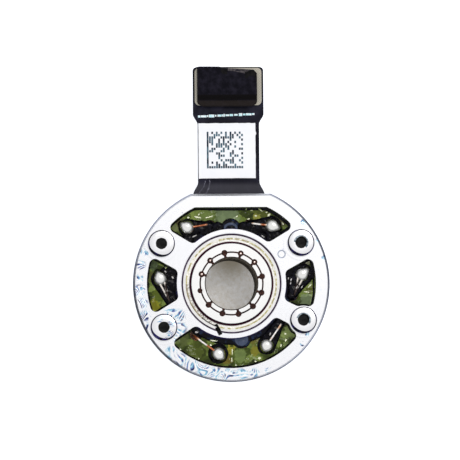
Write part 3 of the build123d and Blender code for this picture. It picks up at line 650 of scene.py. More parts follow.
# painted shade on the bosses' bevels and outer edges
BOSS_EDGE_SHADE = ink("violet_black_edge_sealant", "#070718", "#262058", 0.7)
# clean metal at the weld centres, which also stands in for their highlight
WELD_CORE = plain_steel("bright_weld_core", "#f7e6e0", "#e2c6bc", 0.3, 0.2)
FLUX = glossy("dried_amber_flux", "#8d9a52", "#b3b878", 0.3, 0.002, 0.16, 0.9)
RESIN_GLOSS = glossy("polished_resin_facet", "#161824", "#2a2f44", 0.3, 0.002, 0.16, 0.8)
# paler crease tops: stress whitening, and painted highlight as well
CREASE_WHITENING_AND_HIGHLIGHT = ink("creased_coverlay", "#4e4d57", "#6c6b76", 0.2)
LABEL_INK = ink("slate_label_ink", "#1f2c3c", "#54707e", 0.5)
SCREEN_INK = ink("pale_screen_ink", "#f4feff", "#c4f0f6")
MARKER_INK = ink("black_marker_ink", "#050506", "#0e0d10")

for subpart in frame["record"]["subparts"]:
    solid = frame["nodes"].get(subpart["node"])
    if solid:
        solid.data.materials.clear()
        solid.data.materials.append(MATERIALS[subpart["material_slot"]])


# --- Meshes ---
def skin(rows, ring=True, ends=False):
    """Faces between rows of points. A ring row closes on itself, and ends closes the first and last row."""
    width = len(rows[0])
    points = [point for row in rows for point in row]
    faces = []
    for row in range(len(rows) - 1):
        for place in range(width if ring else width - 1):
            after = (place + 1) % width
            low, high = row * width, (row + 1) * width
            faces.append((low + place, low + after, high + after, high + place))
    if ends:
        faces.append(tuple(range(width)))
        faces.append(tuple(range(len(points) - width, len(points))))
    return points, faces


def joined(forms):
    """Several forms as one list of points and one of faces."""
    points, faces = [], []
    for more_points, more_faces in forms:
        first = len(points)
        points += more_points
        faces += [tuple(first + number for number in face) for face in more_faces]
    return points, faces


def piece(name, form, slot, body, replaces=(), material=None, others=(), choose=None, sharp=40.0):
    """A mesh piece that rides on a body, from a form in millimetres.

    It takes its slot's material unless one is given, and choose picks between that and others for each face.
    """
    points, faces = form
    mesh = bpy.data.meshes.new(name)
    mesh.from_pydata([Vector(point) * MM for point in points], [], faces)
    shape = bmesh.new()
    shape.from_mesh(mesh)
    bmesh.ops.remove_doubles(shape, verts=shape.verts, dist=1e-8)
    bmesh.ops.recalc_face_normals(shape, faces=shape.faces)
    shape.to_mesh(mesh)
    shape.free()
    mesh.polygons.foreach_set("use_smooth", [True] * len(mesh.polygons))
    mesh.set_sharp_from_angle(angle=math.radians(sharp))
    for look in (material or MATERIALS[slot], *others):
        mesh.materials.append(look)
    if choose:
        for polygon in mesh.polygons:
            polygon.material_index = choose(polygon.center / MM)
    made = bpy.data.objects.new(name, mesh)
    bpy.context.scene.collection.objects.link(made)
    if body:
        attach(made, body)
    if replaces:
        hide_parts(*replaces)
    return made


def ring_of(centre, radius, z, steps=64):
    """A level ring of points; the radius is a number or a function of the angle in degrees."""
    row = []
    for step in range(steps):
        angle = 360 * step / steps
        reach = radius(angle) if callable(radius) else radius
        row.append(Vector((centre[0], centre[1], z)) + at(angle, reach))
    return row


def stepped(centre, steps, count):
    """A round form from the bottom up, closed at both ends, from the radius and level of each step."""
    return skin([ring_of(centre, radius, level, count) for radius, level in steps], ends=True)


def strip_section(middle, across, half, low, high, crown=None):
    """Corners of a strip's section between two levels; a crown adds a point over its middle."""
    spots = [(-1, low), (-1, high), (1, high), (1, low)]
    if crown is not None:
        spots.insert(2, (0, crown))
    return [middle + across * side * half + Vector((0, 0, z)) for side, z in spots]


# --- Threaded bosses: stepped pins with a real thread inside ---
THREAD_PITCH = 0.35
THREAD_DEPTH = 0.17
THREAD_R = 0.625
BOSS_R = 1.5
BOSS_TAIL_R = 1.35
BOSS_MOUTH_R = 0.64
BOSS_BEVEL = 0.12
THREAD_ROWS_PER_PITCH = 8
BRUISE_R = 0.82  # the bruised threads reach this far out on the face
BRUISE_ANGLE = 60
HOLE_DEPTH = 1.9
THREAD_LENGTH = 1.85


def boss_bevel(angle):
    """Width of the boss's bevel, which is painted dark as shade: narrow, and widest at the lower left, where
    the boss's shadow falls.
    """
    return BOSS_BEVEL + 0.2 * math.exp(-(((angle - 242) / 48) ** 2)) + 0.012 * wobble(at(angle, 1.0), 0.25)


def threaded_boss(centre, bruise):
    """Outside from the tail up, over the bevelled top, and down the thread to the blind end."""
    rows = [
        ring_of(centre, BOSS_TAIL_R, boss_bottom),
        ring_of(centre, BOSS_TAIL_R, board_top),
        ring_of(centre, BOSS_R, board_top),
        ring_of(centre, BOSS_R, boss_top - BOSS_BEVEL),
        ring_of(centre, lambda angle: BOSS_R - boss_bevel(angle) / 3, boss_top - BOSS_BEVEL / 3),
        ring_of(centre, lambda angle: BOSS_R - boss_bevel(angle), boss_top),
        ring_of(centre, BRUISE_R, boss_top),
    ]

    def mouth(angle):
        """The hole's mouth, broken away along one side where a thread was started crooked."""
        ragged = 0.03 * wobble(at(angle, 1.0, centre.x), 0.35)
        return BOSS_MOUTH_R + ragged + bruise * 0.1 * math.exp(-(((angle - BRUISE_ANGLE) / 50) ** 2))

    rows.append(ring_of(centre, mouth, boss_top))
    for step in range(1, int(THREAD_LENGTH / THREAD_PITCH * THREAD_ROWS_PER_PITCH)):
        z = boss_top - 0.03 - step * THREAD_PITCH / THREAD_ROWS_PER_PITCH

        def groove(angle):
            """The thread's radius at this level."""
            turn = (z / THREAD_PITCH - angle / 360) % 1.0
            return THREAD_R + THREAD_DEPTH * max(0.0, 1 - abs(2 * turn - 1) * 1.25)

        rows.append(ring_of(centre, groove, z))
    rows.append(ring_of(centre, THREAD_R, boss_top - HOLE_DEPTH))
    return skin(rows, ends=True)


for number in range(1, 5):
    mount = next(m for m in frame["record"]["mounts"] if m["name"] == f"boss_thread_{number}")
    place = Vector(mount["pos_m"]) / MM
    bruised = place.x > 0

    def part_of_boss(centre, place=place, bruised=bruised):
        """0 for the turned face, 1 for the oiled thread, 2 for the edge painted as shade, 3 for the bruised
        mouth.
        """
        off = centre - place
        distance = math.hypot(off.x, off.y)
        if centre.z < boss_top - 0.01:
            return 1 if distance < BRUISE_R + 0.05 else 2 * int(centre.z > boss_top - BOSS_BEVEL)
        if distance > BOSS_R - BOSS_BEVEL * 1.2:
            return 2
        facing = off.x * 0.5 + off.y
        return 3 if bruised and distance < BRUISE_R and facing > -0.1 + 0.3 * wobble(centre, 0.3) else 0

    piece(
        f"threaded_boss_{number}",
        threaded_boss(place, 1.0 if bruised else 0.0),
        "stainless_steel",
        "stator",
        ["threaded_bosses"],
        BOSS_STEEL,
        others=(OILED_THREAD, BOSS_EDGE_SHADE, BRUISED_THREAD),
        choose=part_of_boss,
    )


# --- Spot welds round the shaft's end ---
WELD_R = 0.33
BRIGHT_WELDS = (1, 2, 4, 5)  # counted from the first angle; these have a clean, bright centre that also stands in for their highlight
SMALL_WELD = 6  # counted the same way; it lies further out and has no tab
TAB_HALF = 0.19
TAB_WAIST = 0.06  # how much narrower a tab is on each side at its middle
CORE_STEPS = ((0.36, 0.02), (0.3, 0.055), (0.15, 0.07), (0.03, 0.072))  # share of the reach, and height


def weld_spot(angle, number):
    """A pitted button with a raised rim, and a burnt tab that runs in to the bore."""
    centre = at(angle, shaft_r + (0.12 if number == SMALL_WELD else 0.0))
    reach = WELD_R * (0.85 if number == SMALL_WELD else 1.0)

    def edge(share):
        """The uneven radius at a share of the weld's reach, as a function of the angle."""
        return lambda turn: share * reach * (1 + 0.09 * wobble(at(turn, 1.0, angle), 0.6))

    bright = number in BRIGHT_WELDS
    steps = [
        (1.0, -0.1),
        (1.0, 0.012),
        (0.86, 0.045),
        (0.62, 0.05),
        (0.45, 0.03 if bright else 0.02),
        (0.25, 0.035 if bright else -0.01),
        (0.06, 0.04 if bright else -0.02),
    ]
    button = stepped(centre, [(edge(share), shaft_top + rise) for share, rise in steps], 28)
    if number == SMALL_WELD:
        return button
    inner = BORE_R + 0.05
    outer = shaft_r - WELD_R * 0.7
    tab = []
    for share in (0.0, 0.35, 0.7, 1.0):
        middle = at(angle, inner + (outer - inner) * share)
        half = TAB_HALF - TAB_WAIST * math.sin(math.pi * share)
        tab.append(strip_section(middle, at(angle + 90, 1.0), half, shaft_top - 0.1, shaft_top + 0.012))
    return joined([button, skin(tab, ends=True)])


welds = [weld_spot(WELD_FIRST_ANGLE + 360 / WELD_COUNT * number, number) for number in range(WELD_COUNT)]
piece("weld_spots_burnt", joined(welds), "weld_metal", "rotor", ["weld_spots"])

# bright cores on these welds: clean metal, and painted highlight as well
cores = []
for number in BRIGHT_WELDS:
    centre = at(WELD_FIRST_ANGLE + 360 / WELD_COUNT * number, shaft_r)
    cores.append(stepped(centre, [(share * WELD_R, shaft_top + rise) for share, rise in CORE_STEPS], 24))
piece("weld_spot_cores", joined(cores), "bearing_steel", "rotor", material=WELD_CORE)

# --- Solder joints, leads and resin on the winding board ---
# Angle of the lead's notch, angle of its joint, number of leads, direction and length of the joint's peak,
# and how far the resin spreads at the joint and at the notch.
WINDING_ENDS = (
    (72.0, 54.8, 1, 340.0, 0.42, 1.1, 0.5),
    (110.0, 127.4, 1, 150.0, 0.36, 1.02, 0.5),
    (197.0, 175.8, 2, 112.0, 0.34, 1.05, 0.68),
    (235.0, 259.0, 1, 312.0, 0.3, 1.14, 0.0),
    (322.0, 299.5, 1, 250.0, 0.12, 1.06, 0.55),
    (349.0, 6.8, 2, 42.0, 0.48, 1.36, 0.55),
)
DOME_SKIRT = 0.1


def solder_dome(centre, peak_angle, peak):
    """A wetted skirt that curves up into a dome, drawn out to a peak on one side."""
    rows = []
    profile = [(1 + DOME_SKIRT, 0.0), (1.04, 0.03), (1.0, 0.1)]
    for step in range(1, 15):
        lift = math.radians(90 * step / 15)
        profile.append((math.cos(lift) ** 0.9, 0.1 + (DOME_HEIGHT - 0.1) * math.sin(lift) ** 1.15))
    for share, height in profile:
        lean = smooth(height, 0.15, DOME_HEIGHT * 0.95)
        row = []
        for step in range(48):
            turn = 360 * step / 48
            facing = max(0.0, math.cos(math.radians(turn - peak_angle)))
            reach = SOLDER_R * share * (1 + peak * facing**9 * (1 - lean * 0.5))
            point = Vector((centre.x, centre.y, board_top + height)) + at(turn, reach)
            point += at(peak_angle, peak * 0.3 * lean)
            point.z += 0.008 * wobble(point, 0.5)
            row.append(point)
        rows.append(row)
    return skin(rows, ends=True)


for number, (_, joint, _, peak_angle, peak, _, _) in enumerate(WINDING_ENDS, 1):
    piece(
        f"solder_dome_{number}",
        solder_dome(at(joint, SOLDER_CIRCLE_R), peak_angle, peak),
        "solder",
        "stator",
        ["solder_joints"],
    )

LEAD_R = 0.105
LEAD_RISE = 0.42  # the leads run this high over the board
LEAD_SHIFT = 0.16  # how far the second of two leads lies beside the first in the notch
LEAD_SPACING = 0.75
LEAD_START_R = 7.2
NOTCH_HALF = 0.5


def lead_line(notch, joint, count, number):
    """Points of one lead: up from its coil in the notch, over the board with one dip, and into the joint."""
    toward = math.copysign(1, math.sin(math.radians(joint - notch)))
    sideways = at(notch + 90, 1.0) * toward
    foot = at(notch, LEAD_START_R - 0.1) - sideways * (0.3 + number * LEAD_SHIFT)
    rim = at(notch, LEAD_START_R) + sideways * (NOTCH_HALF - number * LEAD_SHIFT)
    end = at(joint, SOLDER_CIRCLE_R + (number - (count - 1) / 2) * LEAD_SPACING)
    over = board_top + LEAD_RISE
    return [
        foot + Vector((0, 0, board_bottom)),
        foot * 0.4 + rim * 0.6 + Vector((0, 0, over - 0.15)),
        rim + Vector((0, 0, over)),
        rim * 0.7 + end * 0.3 + Vector((0, 0, over - 0.22)),
        rim * 0.45 + end * 0.55 + Vector((0, 0, over + 0.05)),
        end + Vector((0, 0, over)),
    ]


def wires(lines, radius):
    """The form of round wires along smooth lines."""
    curve = bpy.data.curves.new("wire_lines", "CURVE")
    curve.dimensions = "3D"
    curve.bevel_depth = radius * MM
    curve.bevel_resolution = 4
    curve.resolution_u = 10
    curve.use_fill_caps = True
    for line in lines:
        spline = curve.splines.new("NURBS")
        spline.points.add(len(line) - 1)
        for point, place in zip(spline.points, line):
            point.co = (*(place * MM), 1.0)
        spline.order_u = 3
        spline.use_endpoint_u = True
    temporary = bpy.data.objects.new("wire_lines", curve)
    mesh = bpy.data.meshes.new_from_object(temporary)
    bpy.data.objects.remove(temporary)
    points = [vertex.co / MM for vertex in mesh.vertices]
    return points, [tuple(polygon.vertices) for polygon in mesh.polygons]


lead_lines = []
for notch, joint, count, *_ in WINDING_ENDS:
    lead_lines += [lead_line(notch, joint, count, number) for number in range(count)]
lead_form = wires(lead_lines, LEAD_R)
piece("winding_lead_wires", lead_form, "enamelled_copper", "stator", ["winding_leads"], LEAD_WIRE, sharp=60)


def clearance(point):
    """Distance from a place on the board to the nearest wall of its opening, under 0 outside the openings."""
    distance = math.hypot(point.x, point.y)
    nearest = min(distance - HUB_R - 0.05, PLATE_RIM_R - distance, TOP_WINDOW_Y - point.y)
    for angle, width in SPOKES:
        if point.dot(at(angle, 1.0)) > 0:
            across = abs(point.dot(at(angle + 90, 1.0)))
            nearest = min(nearest, across - width / 2 - (distance - HUB_R) * 0.02)
        nearest = min(nearest, (point - at(angle, BOSS_CIRCLE_R)).length - BOSS_R - 0.12)
    return nearest


RESIN_RISE = 0.3
SPILL_RISE = 0.2
WALL_SHADOW_RISE = 0.18
WALL_SHADOW_SIDE = 55.0  # the dark bead along the opening walls, painted shadow laid as resin, stands widest along the walls on this side
RESIN_SPILLS = (  # angle, distance and reach of more resin beside the joints
    (171.0, 7.1, 1.0),
    (181.0, 6.9, 0.9),
    (15.0, 7.3, 1.15),
    (2.0, 6.9, 0.8),
    (46.0, 7.0, 0.95),
    (134.0, 6.9, 0.7),
    (113.0, 6.75, 0.85),
    (102.5, 6.5, 0.62),
    (77.5, 6.5, 0.62),
    (67.0, 6.75, 0.85),
)
CELL = 0.07
WALL_SHADOW_BEAD = 0.2


def resin_height(point):
    """Height of the resin over the board: a bead from each notch round its joint, with soft lumps."""
    height = 0.0
    for notch, joint, _, _, _, wide, narrow in WINDING_ENDS:
        first, second = at(joint, SOLDER_CIRCLE_R), at(notch, 6.9)
        along = second - first
        share = max(0.0, min(1.0, (point - first).dot(along) / along.length_squared)) if narrow else 0.0
        off = (point - first - along * share).length
        reach = (wide + (narrow - wide) * share) * (1 + 0.07 * wobble(point, 0.7, notch))
        if off < reach:
            height = max(height, RESIN_RISE * (1 - (off / reach) ** 4))
    for angle, distance, reach in RESIN_SPILLS:
        off = (point - at(angle, distance)).length / (reach * (1 + 0.1 * wobble(point, 0.5, angle)))
        height = max(height, SPILL_RISE * (1 - off**4))
    # painted shadow: a dark bead of resin along the opening walls, wider on one side
    wall = clearance(point)
    facing = max(0.0, math.cos(math.atan2(point.y, point.x) - math.radians(WALL_SHADOW_SIDE)))
    reach = WALL_SHADOW_BEAD + 0.16 * facing + 0.05 * wobble(point, 0.5, 7.0)
    if wall < reach and math.hypot(point.x, point.y) > 7.0:
        height = max(height, WALL_SHADOW_RISE * (1 - (wall / reach) ** 2))
    return height * (1 + 0.25 * wobble(point, 0.5, 3.0)) if height > 0.004 else 0.0


def resin_form():
    """The resin's upper face over a fine grid, with a rim that goes down to the board."""
    count = int(2 * PLATE_RIM_R / CELL)
    corner = {}
    points, faces = [], []
    for row in range(count):
        for column in range(count):
            place = Vector((-PLATE_RIM_R + column * CELL, -PLATE_RIM_R + row * CELL, 0))
            if clearance(place) > 0.01:
                height = resin_height(place)
                corner[row, column] = (len(points), height)
                points.append(place + Vector((0, 0, board_top + height - 0.01)))
    for row, column in corner:
        around = ((row, column), (row, column + 1), (row + 1, column + 1), (row + 1, column))
        square = [corner.get(spot) for spot in around]
        if None not in square and max(spot[1] for spot in square) > 0.0:
            faces.append(tuple(spot[0] for spot in square))
    used = sorted({number for face in faces for number in face})
    new = {old: number for number, old in enumerate(used)}
    return [points[old] for old in used], [tuple(new[old] for old in face) for face in faces]


piece("resin_beads", resin_form(), "dark_resin", "stator", ["resin_dabs"])

# --- Small flakes that catch the light ---
FLUX_FLAKES = (  # place, heading, length and width of pale flakes of dried flux on the board
    (-7.3, 1.85, 20, 0.26, 0.2),
    (-3.7, 7.48, -10, 0.85, 0.16),
    (-3.55, 7.8, 60, 0.26, 0.14),
    (-4.75, 7.45, 0, 0.26, 0.2),
    (-2.4, 7.5, 15, 0.85, 0.14),
    (0.7, 7.55, 30, 0.28, 0.14),
    (1.75, 8.35, 60, 0.2, 0.12),
    (2.35, 8.2, 0, 0.3, 0.1),
    (3.35, 8.25, -35, 0.6, 0.14),
    (4.05, 8.0, 40, 0.24, 0.16),
    (4.3, 7.7, 50, 0.42, 0.24),
    (2.8, 7.6, 0, 0.24, 0.2),
    (2.0, 7.25, 20, 0.28, 0.16),
    (5.85, 6.7, -60, 0.32, 0.14),
    (-2.0, -6.35, -8, 0.85, 0.14),
    (-2.35, -6.85, 0, 0.24, 0.22),
    (-5.75, -7.3, 0, 0.2, 0.16),
    (-3.7, -8.35, 0, 0.16, 0.12),
    (0.05, -7.6, 88, 0.65, 0.12),
    (0.0, -8.5, 88, 0.55, 0.12),
    (3.1, -8.35, 20, 0.34, 0.28),
    (2.65, -8.7, 0, 0.24, 0.16),
    (0.45, -9.1, 0, 0.22, 0.14),
    (6.0, -5.65, 0, 0.22, 0.2),
    (6.05, -6.35, 60, 0.34, 0.22),
    (5.5, -6.95, 80, 0.34, 0.18),
    (8.8, -0.3, 48, 0.55, 0.12),
    (8.45, -0.98, -8, 0.75, 0.12),
)
RESIN_FLAKES = (  # the same for glossy facets of the resin
    (-7.25, -0.55, -62, 0.62, 0.15),
    (-6.55, 0.75, -60, 0.3, 0.18),
    (-7.35, 1.4, -40, 0.3, 0.12),
    (7.4, -0.4, 48, 0.55, 0.16),
    (7.9, -0.42, 52, 0.36, 0.12),
    (6.7, 0.4, 70, 0.32, 0.16),
    (6.65, 0.0, 80, 0.26, 0.12),
    (6.4, 0.55, 80, 0.24, 0.1),
    (-4.1, 5.36, 25, 0.62, 0.12),
    (3.6, 5.3, -40, 0.45, 0.1),
    (4.3, -5.65, 75, 0.34, 0.12),
    (-3.85, -5.35, 15, 0.5, 0.26),
)
LAMP_LEAN = 12.5  # degrees that a flake leans towards the lamp, at which it shines
LAMP_SIDE = 52.0


def flake(x, y, heading, length, width, level):
    """A thin uneven flake, tilted to one side."""
    lean = math.tan(math.radians(LAMP_LEAN))
    upper, lower = [], []
    for step in range(10):
        turn = math.radians(36 * step)
        bulge = 1 + 0.22 * wobble((math.cos(turn), math.sin(turn), x), 0.5, y)
        off = Vector((math.cos(turn) * length / 2, math.sin(turn) * width / 2, 0)) * bulge
        off.rotate(Matrix.Rotation(math.radians(heading), 3, "Z"))
        rise = -lean * off.dot(at(LAMP_SIDE, 1.0))
        upper.append(Vector((x, y, level + rise)) + off)
        lower.append(Vector((x, y, level + rise - 0.04)) + off)
    return skin([lower, upper], ends=True)


def resin_level(x, y):
    """How high the resin stands at a place."""
    return board_top + resin_height(Vector((x, y, 0)))


flux = [flake(*row, resin_level(*row[:2]) + 0.08) for row in FLUX_FLAKES]
piece("flux_flakes", joined(flux), "olive_laminate", "stator", material=FLUX, sharp=20)
glints = [flake(*row, resin_level(*row[:2]) + 0.06) for row in RESIN_FLAKES]
piece("resin_facets", joined(glints), "dark_resin", "stator", material=RESIN_GLOSS, sharp=20)

# --- Plugs in the insulator's posts ---
PLUG_R = 0.46
plugs = []
for angle in POST_ANGLES:
    middle = at(angle, HUB_R + 0.6)
    steps = ((1, 0.6), (1, 0.05), (0.9, 0.02))
    plugs.append(stepped(middle, [(PLUG_R * share, post_top - drop) for share, drop in steps], 32))
piece("insulator_post_plugs", joined(plugs), "navy_nylon", "stator")


def slab(along, across, top_point, underside):
    """A closed form from a fine grid of points on top; underside gives the level below each of them."""
    rows = []
    for step in range(along + 1):
        row = [top_point(step / along, place / across) for place in range(across + 1)]
        rows.append(row + [Vector((point.x, point.y, underside(point))) for point in reversed(row)])
    return skin(rows, ends=True)


# --- Flex tail: one flat ribbon with crease lines ---
FLEX_HALVES = ((root_y, 4.0), (10.05, 4.0), (11.45, 3.45), (17.9, 3.45), (19.1, 3.97), (tip_y, 3.97))
FLEX_CORNER_R = 0.45
CREASE_HALF = 0.07
CREASES = (  # foot, head and bow of each crease line, and its height
    ((-3.55, 10.15), (-2.75, 11.6), 0.25, 0.05),
    ((-2.75, 10.1), (-2.3, 11.65), 0.3, 0.06),
    ((-3.05, 10.1), (-2.6, 11.6), 0.28, -0.05),
    ((-1.15, 10.1), (-1.2, 11.6), 0.02, 0.02),
    ((1.9, 10.2), (2.6, 11.5), -0.1, 0.015),
)


def flex_half(y):
    """Half the flex's width at a distance along it."""
    for (start, first), (end, second) in zip(FLEX_HALVES, FLEX_HALVES[1:]):
        if y <= end:
            half = first + (second - first) * (smooth(y, start, end) if start > root_y else 0.0)
            break
    else:
        half = FLEX_HALVES[-1][1]
    short = y - (tip_y - FLEX_CORNER_R)
    if short > 0:
        half -= FLEX_CORNER_R - math.sqrt(max(0.0, FLEX_CORNER_R**2 - short**2))
    return half


def crease_rise(x, y):
    """Height of the crease lines at a place on the flex."""
    rise = 0.0
    for (foot_x, foot_y), (head_x, head_y), bow, height in CREASES:
        share = (y - foot_y) / (head_y - foot_y)
        if -0.1 < share < 1.1:
            line = foot_x + (head_x - foot_x) * share + bow * math.sin(math.pi * share) * 0.5
            ridge = height * math.exp(-(((x - line) / CREASE_HALF) ** 2))
            rise += ridge * smooth(share, -0.1, 0.1) * (1 - smooth(share, 0.9, 1.1))
    return rise


def flex_point(share, side):
    """A point on the flex's upper face."""
    y = root_y + (tip_y - root_y) * share
    x = flex_x + flex_half(y) * (2 * side - 1)
    return Vector((x, y, flex_top + crease_rise(x, y)))


def flex_underside(point):
    """Level of the flex's lower face, which follows the creases that stand up."""
    return flex_bottom + max(0.0, crease_rise(point.x, point.y)) * 0.8


# the crease tops take the paler coverlay, which also stands in for their highlight
ribbon = piece(
    "flex_ribbon",
    slab(150, 110, flex_point, flex_underside),
    "black_flex",
    None,
    ["flex_root", "flex_tail"],
    others=(CREASE_WHITENING_AND_HIGHLIGHT,),
    choose=lambda centre: int(crease_rise(centre.x, centre.y) > 0.022 and centre.z > flex_top),
)
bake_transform(ribbon)

# --- Label with a printed code of scattered squares ---
label_low, label_high = box_of("label")
EDGE_WAVE = 0.05
LABEL_NICK_Y = 16.9


def label_point(share, side):
    """A point on the label: its cut ends and its sides are a little wavy, and one side has a nick."""
    x = label_low.x + (label_high.x - label_low.x) * side
    y = label_low.y + (label_high.y - label_low.y) * share
    end = (1 - smooth(share, 0.0, 0.08)) + smooth(share, 0.92, 1.0)
    y += EDGE_WAVE * end * (wobble((x, share, 0), 0.45) + 0.5 * wobble((x, share, 5), 0.2))
    if side == 1:
        x += 0.09 * math.exp(-(((y - LABEL_NICK_Y) / 0.16) ** 2))
    if side in (0, 1):
        x += 0.02 * wobble((0, y, 40 * side), 0.7)
    return Vector((x, y, label_high.z))


sheet = slab(44, 40, label_point, lambda point: flex_top + 0.002)
piece("printed_label", sheet, "white_label", "tail", ["label"])

CODE_CELLS = 16
CODE_SIDE = 4.12
CODE_CORNER = (-2.62, 12.98)
CODE_INSET = 0.03  # a column's squares fall short of its cell on each side
CODE_SHARE = 0.4  # of the cells inside the border that are filled
INK_HEIGHT = 0.012


def flat_patch(x, y, width, length, bottom, top):
    """A thin rectangular patch from its lower left corner."""
    corners = ((x, y), (x + width, y), (x + width, y + length), (x, y + length))
    return skin([[Vector((*corner, z)) for corner in corners] for z in (bottom, top)], ends=True)


def code_squares():
    """Scattered squares in a grid, with two full sides and two broken ones. They spell nothing."""
    pick = random.Random(11)
    cell = CODE_SIDE / CODE_CELLS
    last = CODE_CELLS - 1
    filled = set()
    for column in range(CODE_CELLS):
        for row in range(CODE_CELLS):
            edge = column == 0 or row == 0
            broken = (column == last and row % 2 == 0) or (row == last and column % 2 == 0)
            inner = 0 < column < last and 0 < row < last
            if edge or broken or (inner and pick.random() < CODE_SHARE):
                filled.add((column, row))
    patches = []
    low, high = label_high.z + 0.002, label_high.z + INK_HEIGHT
    for column, row in sorted(filled):
        x = CODE_CORNER[0] + column * cell + CODE_INSET
        y = CODE_CORNER[1] + row * cell
        patches.append(flat_patch(x, y, cell - 2 * CODE_INSET, cell, low, high))
    return joined(patches)


piece("label_code", code_squares(), "white_label", "tail", material=LABEL_INK)

PRINT_START = (-3.55, 18.83)
PRINT_END_X = 2.8
PRINT_SLOPE = 0.04


def screen_dashes():
    """A row of short printed bars of uneven length on the flex."""
    pick = random.Random(4)
    patches = []
    x = PRINT_START[0]
    while x < PRINT_END_X - 0.2:
        width = pick.choice((0.16, 0.28, 0.4, 0.62))
        height = pick.choice((0.2, 0.24, 0.32))
        y = PRINT_START[1] + PRINT_SLOPE * (x + 3.5) - height / 2
        patches.append(flat_patch(x, y, min(width, PRINT_END_X - x), height, flex_top, flex_top + INK_HEIGHT))
        x += width + pick.choice((0.05, 0.08, 0.12))
    return joined(patches)


piece("screen_print", screen_dashes(), "white_label", "tail", material=SCREEN_INK)

# --- Foam pad: a torn block on the stiffener ---
foam_low, foam_high = box_of("foam_pad")
FOAM_CORNER_R = 0.3
FOAM_BULGE = 0.2  # how far the near edge is pressed out over the flex
FOAM_TOP_EDGE = (  # distance across, from 0 to 1, and distance along of the torn end
    (0.0, 24.3),
    (0.02, 24.38),
    (0.38, 24.36),
    (0.395, 24.26),
    (0.47, 24.27),
    (0.49, 24.18),
    (0.62, 24.1),
    (0.78, 23.85),
    (0.83, 23.75),
    (0.88, 24.0),
    (0.95, 24.0),
    (1.0, 23.6),
)


def torn_end(share):
    """How far the foam reaches at a share of its width."""
    for (start, first), (end, second) in zip(FOAM_TOP_EDGE, FOAM_TOP_EDGE[1:]):
        if share <= end:
            return first + (second - first) * (share - start) / (end - start)
    return FOAM_TOP_EDGE[-1][1]


def torn_share(side, y):
    """How far a place on the foam is torn open, from 0 to 1."""
    far = torn_end(side)
    return smooth(y, far - 0.9, far) * smooth(side, 0.38, 0.45)


def foam_point(share, side):
    """A point on the pad: rough on top, torn at its far end, and crushed along its near end."""
    width = foam_high.x - foam_low.x
    x = foam_low.x + width * side
    near = foam_low.y - FOAM_BULGE * smooth(min(side, 1 - side), 0.02, 0.1)
    inset = min(side, 1 - side) * width
    if inset < FOAM_CORNER_R:
        near += FOAM_CORNER_R * (1 - math.sqrt(max(0.0, 1 - (1 - inset / FOAM_CORNER_R) ** 2)))
    far = torn_end(side) + 0.03 * wobble((x, 0, 0), 0.12)
    y = near + (min(far, tip_y - 0.01) - near) * share
    edge = min(side, 1 - side, share, 1 - share)
    past = y - FOAM_CRUSH_Y
    top = foam_high.z - 0.1 + 0.07 * wobble((x, y, 0), 0.35) + 0.04 * wobble((x, y, 3), 0.14)
    top -= 0.18 * (1 - smooth(edge, 0.0, 0.03))
    top -= 0.22 * (1 - smooth(past, 0.05, 0.3)) + 0.08 * math.exp(-(((past - 0.35) / 0.1) ** 2))
    top -= 0.3 * torn_share(side, y) * (0.6 + 0.4 * wobble((x, y, 9), 0.4))
    return Vector((x, y, min(top, foam_high.z)))


def part_of_foam(centre):
    """0 for the pad's skin, 1 for the deep tear, painted darker as shade, and 2 for its frayed edge, painted
    paler as a highlight.
    """
    side = (centre.x - foam_low.x) / (foam_high.x - foam_low.x)
    torn = torn_share(side, centre.y)
    if torn < 0.1 or centre.z < foam_low.z + 0.1:
        return 0
    if 0.4 < side < 0.5 or side > 0.8:
        return 1
    return 2 if torn > 0.8 and wobble(centre, 0.3) > -0.1 else 0


# the tear's faces are painted: near black in the deep tear as shade, grey on its frayed edge as highlight
piece(
    "foam_pad_torn",
    slab(46, 70, foam_point, lambda point: foam_low.z),
    "black_foam",
    "tail",
    ["foam_pad"],
    others=(ink("deep_foam_tear", "#060507", "#0c0a0d"), ink("frayed_foam", "#3c3739", "#565052")),
    choose=part_of_foam,
    sharp=70,
)


# --- Marker line across the front bearing and the hub ---
MARKER_ENDS = (at(248.2, 4.88), at(257.6, 5.86))
MARKER_HALF = 0.24


def marker_line():
    """A short black stroke that follows the bearing's ring, the joint and the hub's face."""
    start, end = MARKER_ENDS
    across = Vector((-(end - start).y, (end - start).x, 0)).normalized()
    rows = []
    count = 18
    for step in range(count + 1):
        share = step / count
        middle = start + (end - start) * share
        distance = math.hypot(middle.x, middle.y)
        level = wire_top + (ring_top - wire_top) * smooth(distance, wire_r - 0.1, wire_r + 0.1)
        level += (plate_top - ring_top) * smooth(distance, bearing_r - 0.35, bearing_r)
        half = MARKER_HALF * (0.85 + 0.15 * math.sin(math.pi * share)) + 0.02 * wobble(middle, 0.2)
        top = level + 0.03
        rows.append(strip_section(middle, across, half, top - 0.06, top, crown=top + 0.004))
    return skin(rows, ends=True)


piece("marker_stroke", marker_line(), "dark_resin", "stator", material=MARKER_INK)

WIRE_GAP_R = 5.04
WIRE_GAP_ANGLES = (229, 247)


def wire_gap_shade():
    """Painted shade: a dark strip in the slot between the snap wire's ends, from a small eye to the marker
    line.
    """
    rows = []
    count = 20
    start, end = WIRE_GAP_ANGLES
    for step in range(count + 1):
        angle = start + (end - start) * step / count
        half = 0.04 + 0.06 * math.exp(-((step / 1.2) ** 2)) + 0.01 * wobble((step, 0, 0), 3)
        level = ring_top + 0.012
        rows.append(strip_section(at(angle, WIRE_GAP_R), at(angle, 1.0), half, level - 0.05, level))
    return skin(rows, ends=True)


piece("snap_wire_gap_shade", wire_gap_shade(), "straw_spring_wire", "stator", material=MARKER_INK)

